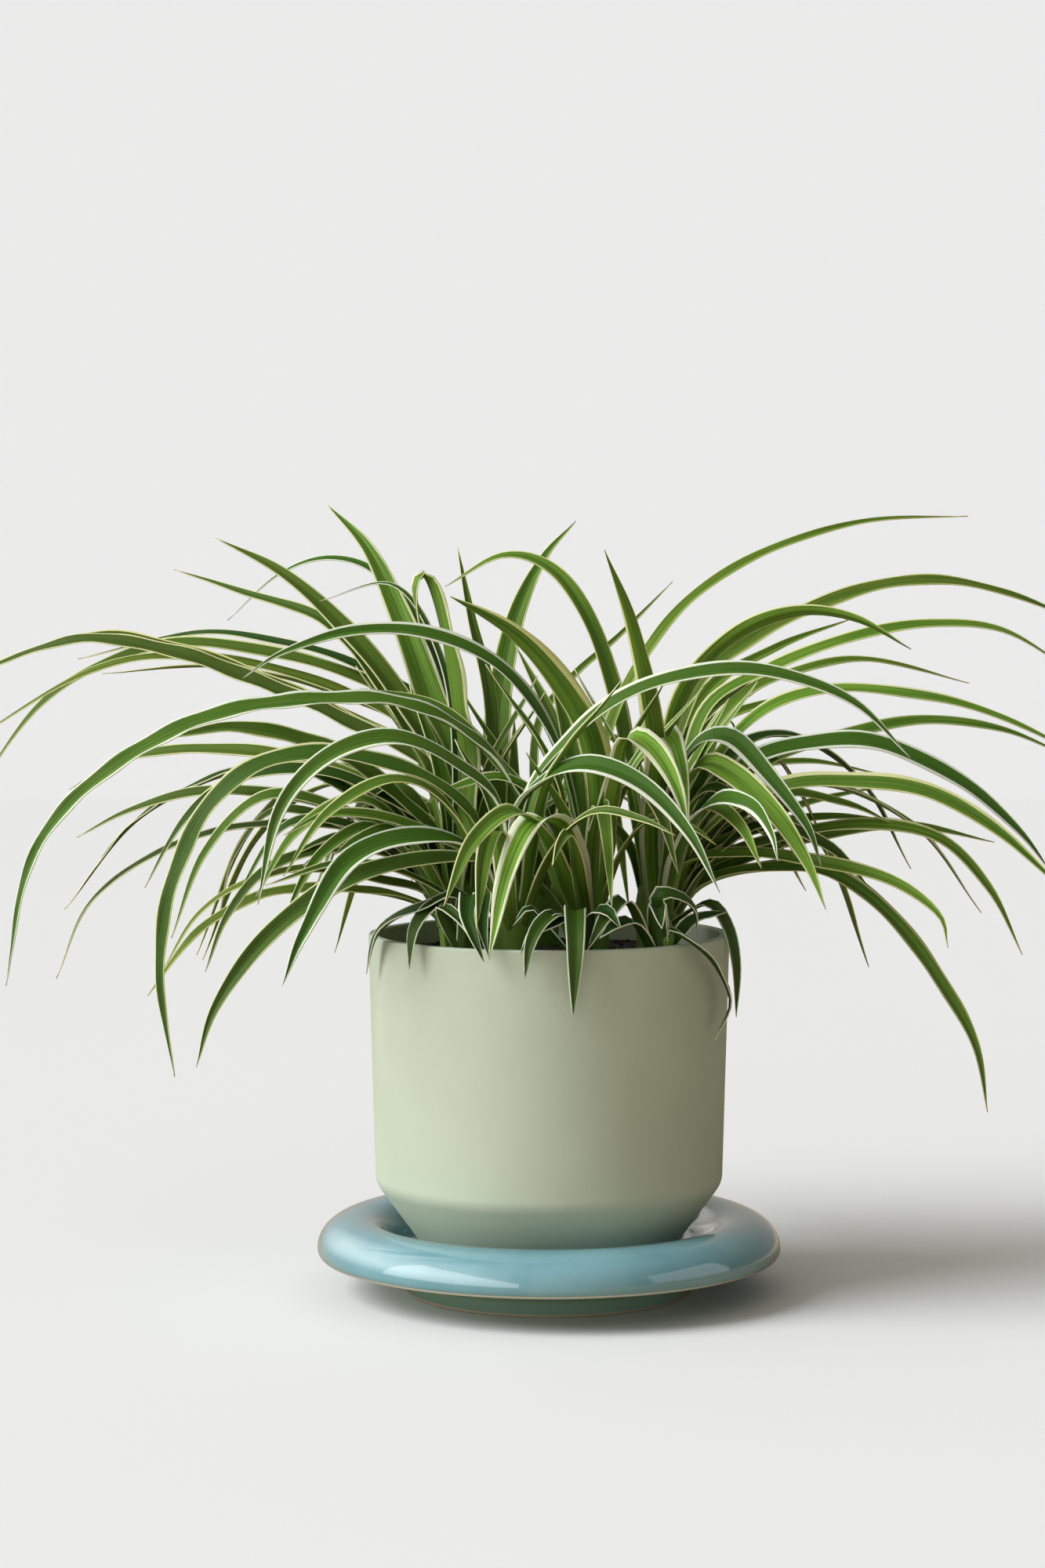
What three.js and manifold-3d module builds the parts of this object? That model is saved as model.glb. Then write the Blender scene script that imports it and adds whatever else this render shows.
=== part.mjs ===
// A spider plant in a matte stoneware pot, which stands on a glazed saucer.
// Millimetres, +Z up. The origin is on the pot's axis, on the surface that the saucer stands on. The front
// faces -Y, and +X is on the right of someone who looks at the front.

import * as THREE from "three";
import { mergeVertices } from "three/addons/utils/BufferGeometryUtils.js";
import Module from "manifold-3d";

const wasm = await Module();
wasm.setup();

// Pot: a straight, slightly flared wall over a steep cone, with a soft crease between them
const RIM_RADIUS = 75;
const RIM_HEIGHT = 149.4;
const RIM_ROUND = 1;
const CREASE_RADIUS = 72.2;
const CREASE_HEIGHT = 46;
const CREASE_ROUND = 3;
const POT_BASE_RADIUS = 45;
const POT_WALL = 4;
const POT_FLOOR = 7;
const DRAIN_RADIUS = 7;

// Saucer: a flat foot, a concave underside and a fat rolled rim round a shallow well
const FOOT_RADIUS = 60.5;
const FOOT_TAPER = 1;
const FOOT_HEIGHT = 7;
const SAUCER_RADIUS = 96.5;
const SAUCER_WIDEST_HEIGHT = 18.5;
const LOWER_EDGE_RADIUS = 94.6;
const LOWER_EDGE_HEIGHT = 15;
const CREST_RADIUS = 80;
const CREST_HEIGHT = 31.5;
const LIP_RADIUS = 66.5;
const LIP_HEIGHT = 22;
const WELL_RADIUS = 56;
const WELL_HEIGHT = 8.5;

// Soil and the root stocks that stand in its holes
const SOIL_TOP = 141.5;
const SOIL_EDGE_DROP = 1.5;
const SOIL_FLAT_SHARE = 0.6;
const SOIL_FLAT_DROP = 0.3;
const STOCK_DEPTH = 20;
const STOCK_STRAIGHT = 2;
const CORE = [[1.15, 0], [0.95, 1.2], [0.5, 1.9], [0, 2.2]];
const STOCK_SEGMENTS = 12;
const YOUNG_STOCK_RADIUS = 5;
const STOCK_RADIUS = 8;

// Seats, gaps and facets
const SEAT_GAP = 0.3;
const LEAF_GAP = 0.4;
const ROUND_SEGMENTS = 40;
const CURVE_STEPS = 3;
const SLIVER_SIZE = 0.01;
const KEY_DECIMALS = 4;

// The eye that the leaves' points are seen from: 1.4 m in front of the pot's axis
const EYE = new THREE.Vector3(-11, -1400, 287);

// A leaf's section and its narrowing, as shares of its length from the root
const ROOT_DEPTH = 7;
const ROOT_OFFSET = 3;
const SHEATH_WIDTH = 0.6;
const SHEATH_WIDENING = 1.3;
const TAPER_POWER = 3.2;
const LEAST_TIP = 0.12;
const KEEL_LEAST = 0.7;
const FOLD_OPEN = THREE.MathUtils.degToRad(24);
const FOLD_AT_ROOT = THREE.MathUtils.degToRad(48);
const FOLD_SHARE = 0.3;
const ROLL_SHARE = 0.8;

// Stations along a leaf
const FINE_STEPS = 48;
const LEAST_STATIONS = 4;
const LENGTH_PER_STATION = 60;
const TURN_PER_STATION = THREE.MathUtils.degToRad(34);

// How far a leaf's tip is brought nearer or farther until the leaf is clear of its neighbours
const SWING_STEPS = [0, 5, 10, 15, 20, 26, 32, 40, 50, 60, 70, 80];
const SWINGS = SWING_STEPS.flatMap((step) => (step ? [step, -step] : [0]));

// Leaves that a rule places, as ranges that a seeded draw picks from. Heights are above the crown's neck.
const GOLDEN_ANGLE = Math.PI * (3 - Math.sqrt(5));
const HEART = { roll: 15, reach: [25, 55], rise: [45, 105], width: [8, 10] };
const BACK = { roll: 20, reach: [120, 180], top: [50, 75], fall: [45, 105], width: [8, 11] };
const FILL = { roll: 40, reach: [50, 105], top: [28, 58], fall: [8, 45], width: [7, 10] };
const PLACE_IN_SECTOR = [0.2, 0.8];
const NO_FAN = [0, 0, 0];

const POT_BASE_HEIGHT = WELL_HEIGHT + SEAT_GAP;

const materials = {
  saucer: new THREE.MeshStandardMaterial({ color: 0xb4cdd6, roughness: 0.12, metalness: 0 }),
  pot: new THREE.MeshStandardMaterial({ color: 0xa9b79a, roughness: 0.85, metalness: 0 }),
  soil: new THREE.MeshStandardMaterial({ color: 0x2a211b, roughness: 1, metalness: 0 }),
  leaf: new THREE.MeshStandardMaterial({ color: 0x5b8a2c, roughness: 0.45, metalness: 0 }),
  youngLeaf: new THREE.MeshStandardMaterial({ color: 0x2c4a2c, roughness: 0.45, metalness: 0 }),
};

// Each leaf is [width, roll, depth of the tip, points that the midrib passes, the last being the tip].
// Points are X and Z as seen from the eye, in the plane of the pot's axis. Depth is Y, and it grows evenly
// from the root unless a point gives its own as a third number. A positive roll turns the upper face to the
// front. A grown crown also has a number of short heart leaves, long leaves over the back of the rim and
// shorter filling leaves, the last two as [count, from angle, to angle] in degrees from +X. Its seed starts
// the draws that place them.
const CROWNS = {
  plantlet_left: {
    at: [-36, -46],
    stockRadius: YOUNG_STOCK_RADIUS,
    neck: 152,
    material: materials.youngLeaf,
    leaves: [
      [10, 35, -28, [[-37, 165, -50], [-52, 161, -51], [-65, 156, -46], [-73, 147, -36], [-76, 132, -28]]],
      [9, 20, -58, [[-45, 161, -50], [-52, 158, -55], [-57, 149, -58], [-58, 134, -58]]],
      [9, 10, -80, [[-33, 166, -58], [-34, 157, -74], [-31, 147, -80], [-27, 137, -80]]],
      [6, 20, -71, [[-45, 160, -56], [-37, 155, -66], [-31, 145, -71]]],
      [8, 10, -80, [[-28, 166, -56], [-28, 157, -70], [-27, 148, -78], [-25, 139, -80]]],
    ],
  },
  plantlet_front: {
    at: [13, -54],
    stockRadius: YOUNG_STOCK_RADIUS,
    neck: 151,
    material: materials.youngLeaf,
    leaves: [
      [9, 10, -80, [[11, 160, -64], [11, 152, -76], [11, 141, -80], [10, 114, -79]]],
      [8, 30, -80, [[5, 157, -64], [-3, 154, -74], [-8, 144, -80], [-10, 130, -80]]],
      [7, 20, -62, [[-3, 156, -60], [-9, 160, -63], [-15, 152, -62]]],
      [7, 40, -78, [[8, 155, -64], [0, 153, -72], [-7, 149, -76], [-12, 140, -78]]],
      [8, 40, -77, [[17, 157, -64], [24, 159, -71], [30, 151, -77]]],
    ],
  },
  plantlet_right: {
    at: [44, -48],
    stockRadius: YOUNG_STOCK_RADIUS,
    neck: 152,
    material: materials.youngLeaf,
    leaves: [
      [7, 30, -42, [[49, 151, -54], [60, 146, -56], [70, 136, -46], [76, 120, -34], [69, 104, -41]]],
      [10, 35, -47, [[45, 164, -57], [54, 165, -57], [61, 159, -52], [62, 149, -47]]],
      [9, 0, -76, [[45, 161, -60], [47, 151, -76]]],
      [9, 30, -79, [[33, 163, -58], [25, 158, -70], [20, 150, -78], [16, 142, -79]]],
      [8, 20, -20, [[58, 154, -40], [66, 157, -30], [74, 158, -20]]],
      [8, 30, -78, [[36, 154, -62], [28, 153, -70], [21, 147, -78]]],
      [7, 10, -76, [[43, 154, -64], [41, 146, -76]]],
    ],
  },
  crown_middle: {
    at: [16, -14],
    stockRadius: STOCK_RADIUS,
    neck: 158,
    material: materials.leaf,
    seed: 20,
    hearts: 8,
    fills: [6, 195, 345],
    leaves: [
      [12, 50, -45, [[-16, 215], [-52, 243], [-97, 247], [-146, 238], [-191, 211], [-216, 178], [-226, 127]]],
      [15, 0, -92, [[11, 176, -36], [4, 196, -64], [-8, 196, -76], [-18, 174, -87], [-25, 138, -92]]],
      [9, 50, -55, [[-6, 173], [-32, 184], [-65, 197], [-91, 199], [-110, 190]]],
      [10, 60, -35, [[12, 196], [2, 231], [-18, 259], [-49, 274], [-81, 275], [-110, 266], [-127, 255]]],
      [9, 50, -15, [[6, 186], [-16, 215], [-45, 243], [-78, 251]]],
      [14, -55, -55, [[22, 199], [18, 230], [5, 254], [-15, 275], [-41, 289]]],
      [8, 35, 30, [[13, 199], [3, 235], [-14, 269]]],
      [14, 35, -78, [[22, 183], [26, 209], [31, 231], [42, 228], [53, 210], [58, 190]]],
      [6, 45, 60, [[20, 212], [31, 250], [55, 285], [88, 307], [130, 320], [173, 322]]],
    ],
  },
  crown_front: {
    at: [-15, -38],
    stockRadius: STOCK_RADIUS,
    neck: 158,
    material: materials.leaf,
    seed: 42,
    hearts: 4,
    fills: [3, 185, 355],
    leaves: [
      [11, 60, -70, [[-19, 199], [-39, 221], [-65, 231], [-92, 223], [-112, 200], [-121, 161]]],
      [12, 55, -90, [[-29, 183], [-58, 190], [-84, 179], [-102, 149], [-111, 127]]],
      [10, 60, -60, [[-11, 202], [10, 233], [36, 251], [68, 259], [97, 257], [127, 245], [150, 222]]],
      [11, 60, -100, [[-15, 196], [-3, 214], [16, 220], [39, 211], [58, 191], [71, 166]]],
      [11, 60, -80, [[-18, 175], [-35, 181], [-62, 179], [-92, 168], [-120, 145], [-139, 118], [-147, 93]]],
      [12, 60, -35, [[-32, 199], [-65, 220], [-107, 224], [-138, 207], [-157, 170], [-162, 131], [-156, 89]]],
      [7, 35, -35, [[-5, 192], [1, 213], [6, 197]]],
      [6, 40, -55, [[-52, 171], [-84, 179], [-118, 169]]],
    ],
  },
  crown_left: {
    at: [-37, 2],
    stockRadius: STOCK_RADIUS,
    neck: 158,
    material: materials.leaf,
    seed: 22,
    hearts: 6,
    backs: [3, 118, 165],
    fills: [7, 145, 235],
    leaves: [
      [15, 35, 80, [[-37, 209], [-49, 247], [-62, 282], [-75, 309], [-92, 327]]],
      [12, 45, 50, [[-41, 209], [-62, 249], [-88, 280], [-112, 300], [-138, 313]]],
      [12, 55, -12, [[-44, 186], [-63, 207], [-88, 225], [-127, 235], [-161, 230]]],
      [22, 0, -20, [[-32, 212], [-36, 244], [-42, 277], [-50, 298], [-56, 293], [-53, 273]]],
      [11, 45, 75, [[-45, 212], [-84, 238], [-130, 258], [-162, 268], [-198, 271], [-247, 254]]],
      [9, -25, 105, [[-42, 215], [-78, 239], [-117, 257], [-157, 270], [-191, 273], [-243, 257]]],
      [6, 40, 125, [[-45, 235], [-78, 260], [-110, 270], [-146, 274], [-195, 263]]],
      [10, 45, 60, [[-45, 196], [-75, 212], [-104, 222], [-136, 226], [-172, 223], [-199, 209]]],
      [9, 45, 40, [[-50, 183], [-84, 200], [-117, 208], [-148, 208], [-175, 200], [-196, 189]]],
      [9, 50, 25, [[-45, 189], [-78, 212], [-107, 218], [-133, 212], [-152, 196], [-168, 168]]],
      [8, 50, 5, [[-49, 181], [-81, 199], [-117, 207], [-143, 183], [-157, 147]]],
      [7, 45, 60, [[-52, 176], [-88, 196], [-115, 200], [-131, 181], [-137, 157]]],
      [7, 45, 20, [[-49, 176], [-81, 194], [-110, 194], [-132, 160]]],
      [8, 50, -5, [[-49, 174], [-81, 185], [-114, 178], [-133, 158], [-143, 133]]],
      [6, 40, 30, [[-49, 171], [-84, 178], [-122, 172], [-146, 157], [-162, 131]]],
      [8, 45, 10, [[-55, 163], [-84, 168], [-117, 166], [-146, 150], [-167, 123]]],
      [7, 40, 25, [[-50, 166], [-71, 172], [-94, 176], [-117, 174]]],
      [7, 40, 75, [[-48, 177], [-71, 191], [-117, 195], [-156, 186], [-190, 163], [-205, 130]]],
      [8, 45, 95, [[-42, 202], [-65, 246], [-91, 278], [-127, 291], [-155, 300]]],
      [4, 45, 35, [[-39, 231], [-47, 270], [-65, 294], [-95, 287]]],
      [6, 40, 0, [[-47, 176], [-62, 187], [-88, 190], [-115, 177]]],
    ],
  },
  crown_right: {
    at: [45, 4],
    stockRadius: STOCK_RADIUS,
    neck: 158,
    material: materials.leaf,
    seed: 32,
    hearts: 6,
    backs: [3, 12, 52],
    fills: [7, -65, 35],
    leaves: [
      [11, 0, -60, [[45, 199], [43, 235], [35, 275], [23, 308]]],
      [10, -60, -25, [[47, 212], [55, 249], [75, 272], [101, 283], [127, 280], [150, 267]]],
      [12, 60, 5, [[58, 192], [81, 220], [110, 229], [139, 228], [172, 212], [195, 192], [209, 174]]],
      [11, 60, -30, [[62, 189], [92, 210], [127, 213], [159, 208], [188, 191], [216, 165]]],
      [11, 60, -60, [[49, 205], [60, 228], [75, 231], [91, 215], [107, 194], [113, 177]]],
      [12, 60, -80, [[52, 199], [62, 220], [76, 216], [94, 199], [107, 179], [115, 159]]],
      [10, 60, -95, [[55, 189], [68, 205], [83, 203], [92, 191], [95, 179]]],
      [11, 60, 10, [[62, 170], [88, 177], [117, 175], [143, 156], [164, 128], [178, 102], [183, 74]]],
      [13, 45, -55, [[43, 193], [44, 217], [49, 233], [55, 217], [58, 192]]],
      [10, 50, 25, [[35, 209], [29, 244], [18, 277], [2, 300], [-19, 306], [-43, 293]]],
      [10, 45, 75, [[49, 212], [60, 251], [84, 272], [117, 288], [152, 296], [188, 291], [227, 275]]],
      [7, 40, 110, [[52, 209], [65, 249], [94, 268], [126, 280]]],
      [9, 45, 45, [[54, 205], [65, 243], [92, 260], [127, 273], [159, 278], [188, 275], [217, 258]]],
      [7, 40, 95, [[57, 209], [75, 244], [101, 258], [133, 263], [174, 253]]],
      [9, 45, 30, [[58, 202], [84, 239], [117, 251], [156, 248], [188, 239], [221, 223]]],
      [9, 45, 65, [[62, 196], [88, 220], [122, 232], [156, 238], [188, 234], [217, 222]]],
      [6, 40, 85, [[65, 186], [105, 203], [137, 210]]],
      [7, 45, 50, [[63, 181], [91, 194], [117, 198], [142, 196]]],
      [8, 45, 75, [[62, 174], [88, 184], [123, 192], [152, 194], [185, 187]]],
      [9, 50, -10, [[62, 178], [94, 189], [130, 195], [162, 189], [183, 168], [197, 140]]],
      [9, 50, -50, [[55, 178], [81, 183], [114, 179], [143, 171], [162, 157], [166, 143]]],
      [7, 35, 100, [[62, 212], [73, 238], [80, 228]]],
      [8, 40, 85, [[55, 205], [66, 234], [86, 244], [108, 248]]],
      [7, 40, 45, [[65, 199], [89, 225], [105, 207], [118, 177]]],
      [6, 40, 120, [[52, 192], [75, 215], [106, 221], [139, 215]]],
      [8, 40, 40, [[42, 200], [60, 235], [85, 255]]],
      [8, 40, 65, [[46, 200], [66, 235], [91, 254]]],
      [8, 40, 15, [[60, 180], [86, 195]]],
      [8, 40, 25, [[65, 173], [99, 186]]],
      [6, 45, -5, [[65, 162, -8], [74, 153, -7], [78, 136, -5], [78, 114, -4]]],
    ],
  },
  crown_back: {
    at: [-4, 38],
    stockRadius: STOCK_RADIUS,
    neck: 158,
    material: materials.leaf,
    seed: 25,
    hearts: 6,
    backs: [7, 58, 122],
    fills: [4, 35, 145],
    leaves: [
      [13, 0, 95, [[-20, 209], [-21, 243], [-15, 277], [-3, 304], [11, 320]]],
      [8, 35, 60, [[-21, 212], [-25, 251], [-32, 280], [-38, 310]]],
      [10, 45, 60, [[-29, 225], [-68, 251], [-114, 266], [-162, 269], [-208, 247], [-240, 205]]],
      [6, -25, 130, [[-39, 222], [-88, 249], [-136, 260], [-185, 257]]],
      [8, 40, 85, [[-36, 218], [-88, 251], [-143, 264], [-188, 259], [-237, 231]]],
      [6, 45, 105, [[-34, 228], [-50, 272], [-70, 298], [-91, 305], [-112, 298], [-133, 279]]],
      [5, 40, 75, [[-6, 228], [8, 254], [29, 273], [51, 295]]],
    ],
  },
};

// A closed geometry as a manifold-3d solid
function solidOf(geometry) {
  const bare = new THREE.BufferGeometry().setAttribute("position", geometry.getAttribute("position"));
  bare.setIndex(geometry.index);
  const merged = mergeVertices(bare, 1e-3);
  const corners = merged.index.array;
  const triVerts = [];
  for (let i = 0; i < corners.length; i += 3) {
    const [a, b, c] = corners.slice(i, i + 3);
    if (a !== b && b !== c && c !== a) triVerts.push(a, b, c);
  }
  return new wasm.Manifold(
    new wasm.Mesh({
      numProp: 3,
      vertProperties: merged.attributes.position.array,
      triVerts: new Uint32Array(triVerts),
    }),
  );
}

// A manifold-3d solid as a geometry
function geometryOf(solid) {
  const made = solid.getMesh();
  const geometry = new THREE.BufferGeometry();
  geometry.setAttribute("position", new THREE.BufferAttribute(new Float32Array(made.vertProperties), 3));
  geometry.setIndex(new THREE.BufferAttribute(made.triVerts, 1));
  return geometry;
}

// A manifold-3d solid as a named mesh
function meshOf(name, solid, material) {
  const geometry = geometryOf(solid);
  geometry.computeVertexNormals();
  const mesh = new THREE.Mesh(geometry, material);
  mesh.name = name;
  return mesh;
}

// Whether each edge of a closed geometry is shared by just two triangles, also where vertices nearly meet
function isClean(geometry) {
  const place = geometry.getAttribute("position").array;
  const index = geometry.index.array;
  const key = (i) => [0, 1, 2].map((axis) => place[3 * i + axis].toFixed(KEY_DECIMALS)).join();
  const uses = new Map();
  for (let i = 0; i < index.length; i += 3) {
    const corners = [key(index[i]), key(index[i + 1]), key(index[i + 2])];
    if (new Set(corners).size < 3) continue;
    for (let j = 0; j < 3; j += 1) {
      const edge = [corners[j], corners[(j + 1) % 3]].sort().join(" ");
      uses.set(edge, (uses.get(edge) ?? 0) + 1);
    }
  }
  return [...uses.values()].every((count) => count === 2);
}

// The outer body of fused leaves, with the small hollows that crossing leaves seal filled
function outerBody(name, solid) {
  const bodies = solidOf(geometryOf(solid.simplify(SLIVER_SIZE))).decompose();
  const body = bodies.reduce((largest, other) => (other.volume() > largest.volume() ? other : largest));
  if (isClean(geometryOf(body))) return body;
  throw new Error(`${name}: edges lie on top of each other, so another seed is needed`);
}

// A solid turned round the pot's axis, or round a crown's, from a profile of radius and height
function turned(points, segments, x = 0, y = 0) {
  const geometry = new THREE.LatheGeometry(points, segments);
  geometry.rotateX(Math.PI / 2);
  geometry.translate(x, y, 0);
  return solidOf(geometry);
}

function saucer() {
  const profile = new THREE.Path();
  profile.moveTo(0, 0);
  profile.lineTo(FOOT_RADIUS - FOOT_TAPER, 0);
  profile.lineTo(FOOT_RADIUS, FOOT_HEIGHT);
  profile.quadraticCurveTo(FOOT_RADIUS + 10, FOOT_HEIGHT + 2.5, LOWER_EDGE_RADIUS, LOWER_EDGE_HEIGHT);
  profile.quadraticCurveTo(SAUCER_RADIUS, LOWER_EDGE_HEIGHT + 1, SAUCER_RADIUS, SAUCER_WIDEST_HEIGHT);
  profile.bezierCurveTo(SAUCER_RADIUS, 26, CREST_RADIUS + 9, CREST_HEIGHT, CREST_RADIUS, CREST_HEIGHT);
  profile.bezierCurveTo(CREST_RADIUS - 8, CREST_HEIGHT, LIP_RADIUS + 2, LIP_HEIGHT + 5, LIP_RADIUS, LIP_HEIGHT);
  profile.quadraticCurveTo(LIP_RADIUS - 3, WELL_HEIGHT + 1, WELL_RADIUS, WELL_HEIGHT);
  profile.lineTo(0, WELL_HEIGHT);
  return turned(profile.getPoints(CURVE_STEPS), ROUND_SEGMENTS);
}

// The inside of the pot, from the edge of the drain hole up to the rim, drawn inwards by a gap
function potInside(gap) {
  const profile = new THREE.Path();
  const rim = RIM_RADIUS - POT_WALL - gap;
  const crease = CREASE_RADIUS - POT_WALL - gap;
  profile.moveTo(POT_BASE_RADIUS - gap, POT_BASE_HEIGHT + POT_FLOOR + gap);
  profile.lineTo(crease, CREASE_HEIGHT);
  profile.lineTo(rim, RIM_HEIGHT);
  return profile.getPoints(1);
}

function pot() {
  const profile = new THREE.Path();
  profile.moveTo(DRAIN_RADIUS, POT_BASE_HEIGHT);
  profile.lineTo(POT_BASE_RADIUS, POT_BASE_HEIGHT);
  const slope = (CREASE_RADIUS - POT_BASE_RADIUS) / (CREASE_HEIGHT - POT_BASE_HEIGHT);
  profile.lineTo(CREASE_RADIUS - slope * CREASE_ROUND, CREASE_HEIGHT - CREASE_ROUND);
  const flare = (RIM_RADIUS - CREASE_RADIUS) / (RIM_HEIGHT - CREASE_HEIGHT);
  const aboveCrease = CREASE_RADIUS + flare * CREASE_ROUND;
  profile.quadraticCurveTo(CREASE_RADIUS, CREASE_HEIGHT, aboveCrease, CREASE_HEIGHT + CREASE_ROUND);
  profile.lineTo(RIM_RADIUS, RIM_HEIGHT - RIM_ROUND);
  profile.quadraticCurveTo(RIM_RADIUS, RIM_HEIGHT, RIM_RADIUS - RIM_ROUND, RIM_HEIGHT);
  const inside = potInside(0).reverse();
  const points = [...profile.getPoints(CURVE_STEPS), ...inside];
  points.push(new THREE.Vector2(DRAIN_RADIUS, POT_BASE_HEIGHT + POT_FLOOR));
  points.push(points[0].clone());
  return turned(points, ROUND_SEGMENTS);
}

// Soil fills the pot to just under the rim. Each root stock stands in a plain hole in it.
function soil() {
  const [floorEdge, crease, rim] = potInside(SEAT_GAP);
  const edgeHeight = SOIL_TOP - SOIL_EDGE_DROP;
  const share = (edgeHeight - crease.y) / (rim.y - crease.y);
  const edgeRadius = crease.x + (rim.x - crease.x) * share;
  const points = [
    new THREE.Vector2(0, floorEdge.y),
    floorEdge,
    crease,
    new THREE.Vector2(edgeRadius, edgeHeight),
    new THREE.Vector2(edgeRadius * SOIL_FLAT_SHARE, SOIL_TOP - SOIL_FLAT_DROP),
    new THREE.Vector2(0, SOIL_TOP),
  ];
  let body = turned(points, ROUND_SEGMENTS);
  for (const crown of Object.values(CROWNS)) {
    const hole = stockProfile(crown, SEAT_GAP);
    body = body.subtract(turned(hole, STOCK_SEGMENTS, ...crown.at));
  }
  return body;
}

// A root stock: a plain round peg in the soil, under a core of sheaths that the leaves part from. With a
// gap it is the plain hole for the peg.
function stockProfile(crown, gap) {
  const radius = crown.stockRadius + gap;
  const bottom = SOIL_TOP - STOCK_DEPTH - gap;
  const points = [[0, bottom], [radius, bottom], [radius, SOIL_TOP + STOCK_STRAIGHT]];
  if (gap > 0) points.push([radius, RIM_HEIGHT], [0, RIM_HEIGHT]);
  else points.push(...CORE.map(([share, rise]) => [radius * share, crown.neck + radius * rise]));
  return points.map(([r, z]) => new THREE.Vector2(r, z));
}

// A point seen at X and Z in the plane of the pot's axis, moved along the line of sight to depth Y
function alongSight(x, z, y) {
  const share = (y - EYE.y) / (0 - EYE.y);
  return new THREE.Vector3(EYE.x + (x - EYE.x) * share, y, EYE.z + (z - EYE.z) * share);
}

// The midrib's curve from the crown to the tip. A swing brings the tip nearer to the front or farther away.
function midrib(crown, [, , depth, seen], swing) {
  const [rootX, rootY] = crown.at;
  const scale = -EYE.y / (rootY - EYE.y);
  const steps = [[EYE.x + (rootX - EYE.x) * scale, EYE.z + (crown.neck - EYE.z) * scale], ...seen];
  const lengths = seen.map(([x, z], i) => Math.hypot(x - steps[i][0], z - steps[i][1]));
  const total = lengths.reduce((sum, length) => sum + length, 0);
  let gone = 0;
  const points = seen.map(([x, z, own], i) => {
    gone += lengths[i];
    const y = own ?? rootY + (depth - rootY) * (gone / total);
    return alongSight(x, z, y + swing * (gone / total));
  });
  const root = new THREE.Vector3(rootX, rootY, crown.neck - ROOT_DEPTH);
  const away = farthest(root, points);
  root.addScaledVector(away, ROOT_OFFSET);
  return { curve: new THREE.CatmullRomCurve3([root, ...points], false, "catmullrom", 0.5), away };
}

// The level direction from a root to the point that lies farthest from it
function farthest(root, points) {
  let best = new THREE.Vector3();
  for (const point of points) {
    const level = point.clone().sub(root).setZ(0);
    if (level.length() > best.length()) best = level;
  }
  return best.normalize();
}

// Stations along a curve as shares of its length, closer together where it bends
function stations(curve) {
  const tangents = Array.from({ length: FINE_STEPS + 1 }, (_, i) => curve.getTangentAt(i / FINE_STEPS));
  const step = curve.getLength() / FINE_STEPS;
  const effort = [0];
  for (let i = 1; i <= FINE_STEPS; i += 1) {
    const turn = tangents[i].angleTo(tangents[i - 1]);
    effort.push(effort[i - 1] + step / LENGTH_PER_STATION + turn / TURN_PER_STATION);
  }
  const count = Math.max(LEAST_STATIONS, Math.round(effort[FINE_STEPS]));
  const shares = [0];
  for (let k = 1; k < count; k += 1) {
    const wanted = (effort[FINE_STEPS] * k) / count;
    const i = effort.findIndex((value) => value >= wanted);
    const part = (wanted - effort[i - 1]) / (effort[i] - effort[i - 1]);
    shares.push((i - 1 + part) / FINE_STEPS);
  }
  shares.push(1);
  return shares;
}

// How wide a leaf is at a share of its length: narrower in the sheath, then a long fine taper
function taper(share) {
  return Math.min(1, SHEATH_WIDTH + SHEATH_WIDENING * share) * (1 - share ** TAPER_POWER);
}

// One leaf as a closed blade: flat above, keeled below along the midrib, folded deeper towards the root
function blade(crown, leaf, swing, grow) {
  const [width, roll] = leaf;
  const { curve, away } = midrib(crown, leaf, swing);
  const across = new THREE.Vector3(-away.y, away.x, 0);
  const fullRoll = THREE.MathUtils.degToRad(roll) * Math.sign(across.y || 1);
  const shares = stations(curve);
  const positions = [];
  for (const share of shares) {
    const centre = curve.getPointAt(share);
    const along = curve.getTangentAt(share);
    const side = across.clone().addScaledVector(along, -across.dot(along)).normalize();
    side.applyAxisAngle(along, fullRoll * Math.min(1, share / ROLL_SHARE));
    const up = along.clone().cross(side);
    const half = (width / 2) * Math.max(LEAST_TIP, taper(share));
    const fold = FOLD_OPEN + (FOLD_AT_ROOT - FOLD_OPEN) * (1 - Math.min(1, share / FOLD_SHARE)) ** 2;
    const keel = Math.max(KEEL_LEAST, half * Math.tan(fold));
    const left = centre.clone().addScaledVector(side, half + grow).addScaledVector(up, grow);
    const right = centre.clone().addScaledVector(side, -half - grow).addScaledVector(up, grow);
    const below = centre.clone().addScaledVector(up, -keel - grow);
    positions.push(...left, ...below, ...right);
  }
  const index = [0, 1, 2];
  for (let i = 0; i + 1 < shares.length; i += 1) {
    for (let j = 0; j < 3; j += 1) {
      const a = 3 * i + j;
      const b = 3 * i + ((j + 1) % 3);
      index.push(a, a + 3, b, b, a + 3, b + 3);
    }
  }
  const last = 3 * (shares.length - 1);
  index.push(last, last + 2, last + 1);
  const geometry = new THREE.BufferGeometry();
  geometry.setAttribute("position", new THREE.BufferAttribute(new Float32Array(positions), 3));
  geometry.setIndex(index);
  return solidOf(geometry);
}

// Draws numbers from 0 to 1, the same ones each time
function seededRandom(seed) {
  let state = seed;
  return () => {
    state = (state * 1664525 + 1013904223) % 2 ** 32;
    return state / 2 ** 32;
  };
}

// A number drawn from a range
function drawn([from, to], random) {
  return from + (to - from) * random();
}

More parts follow.
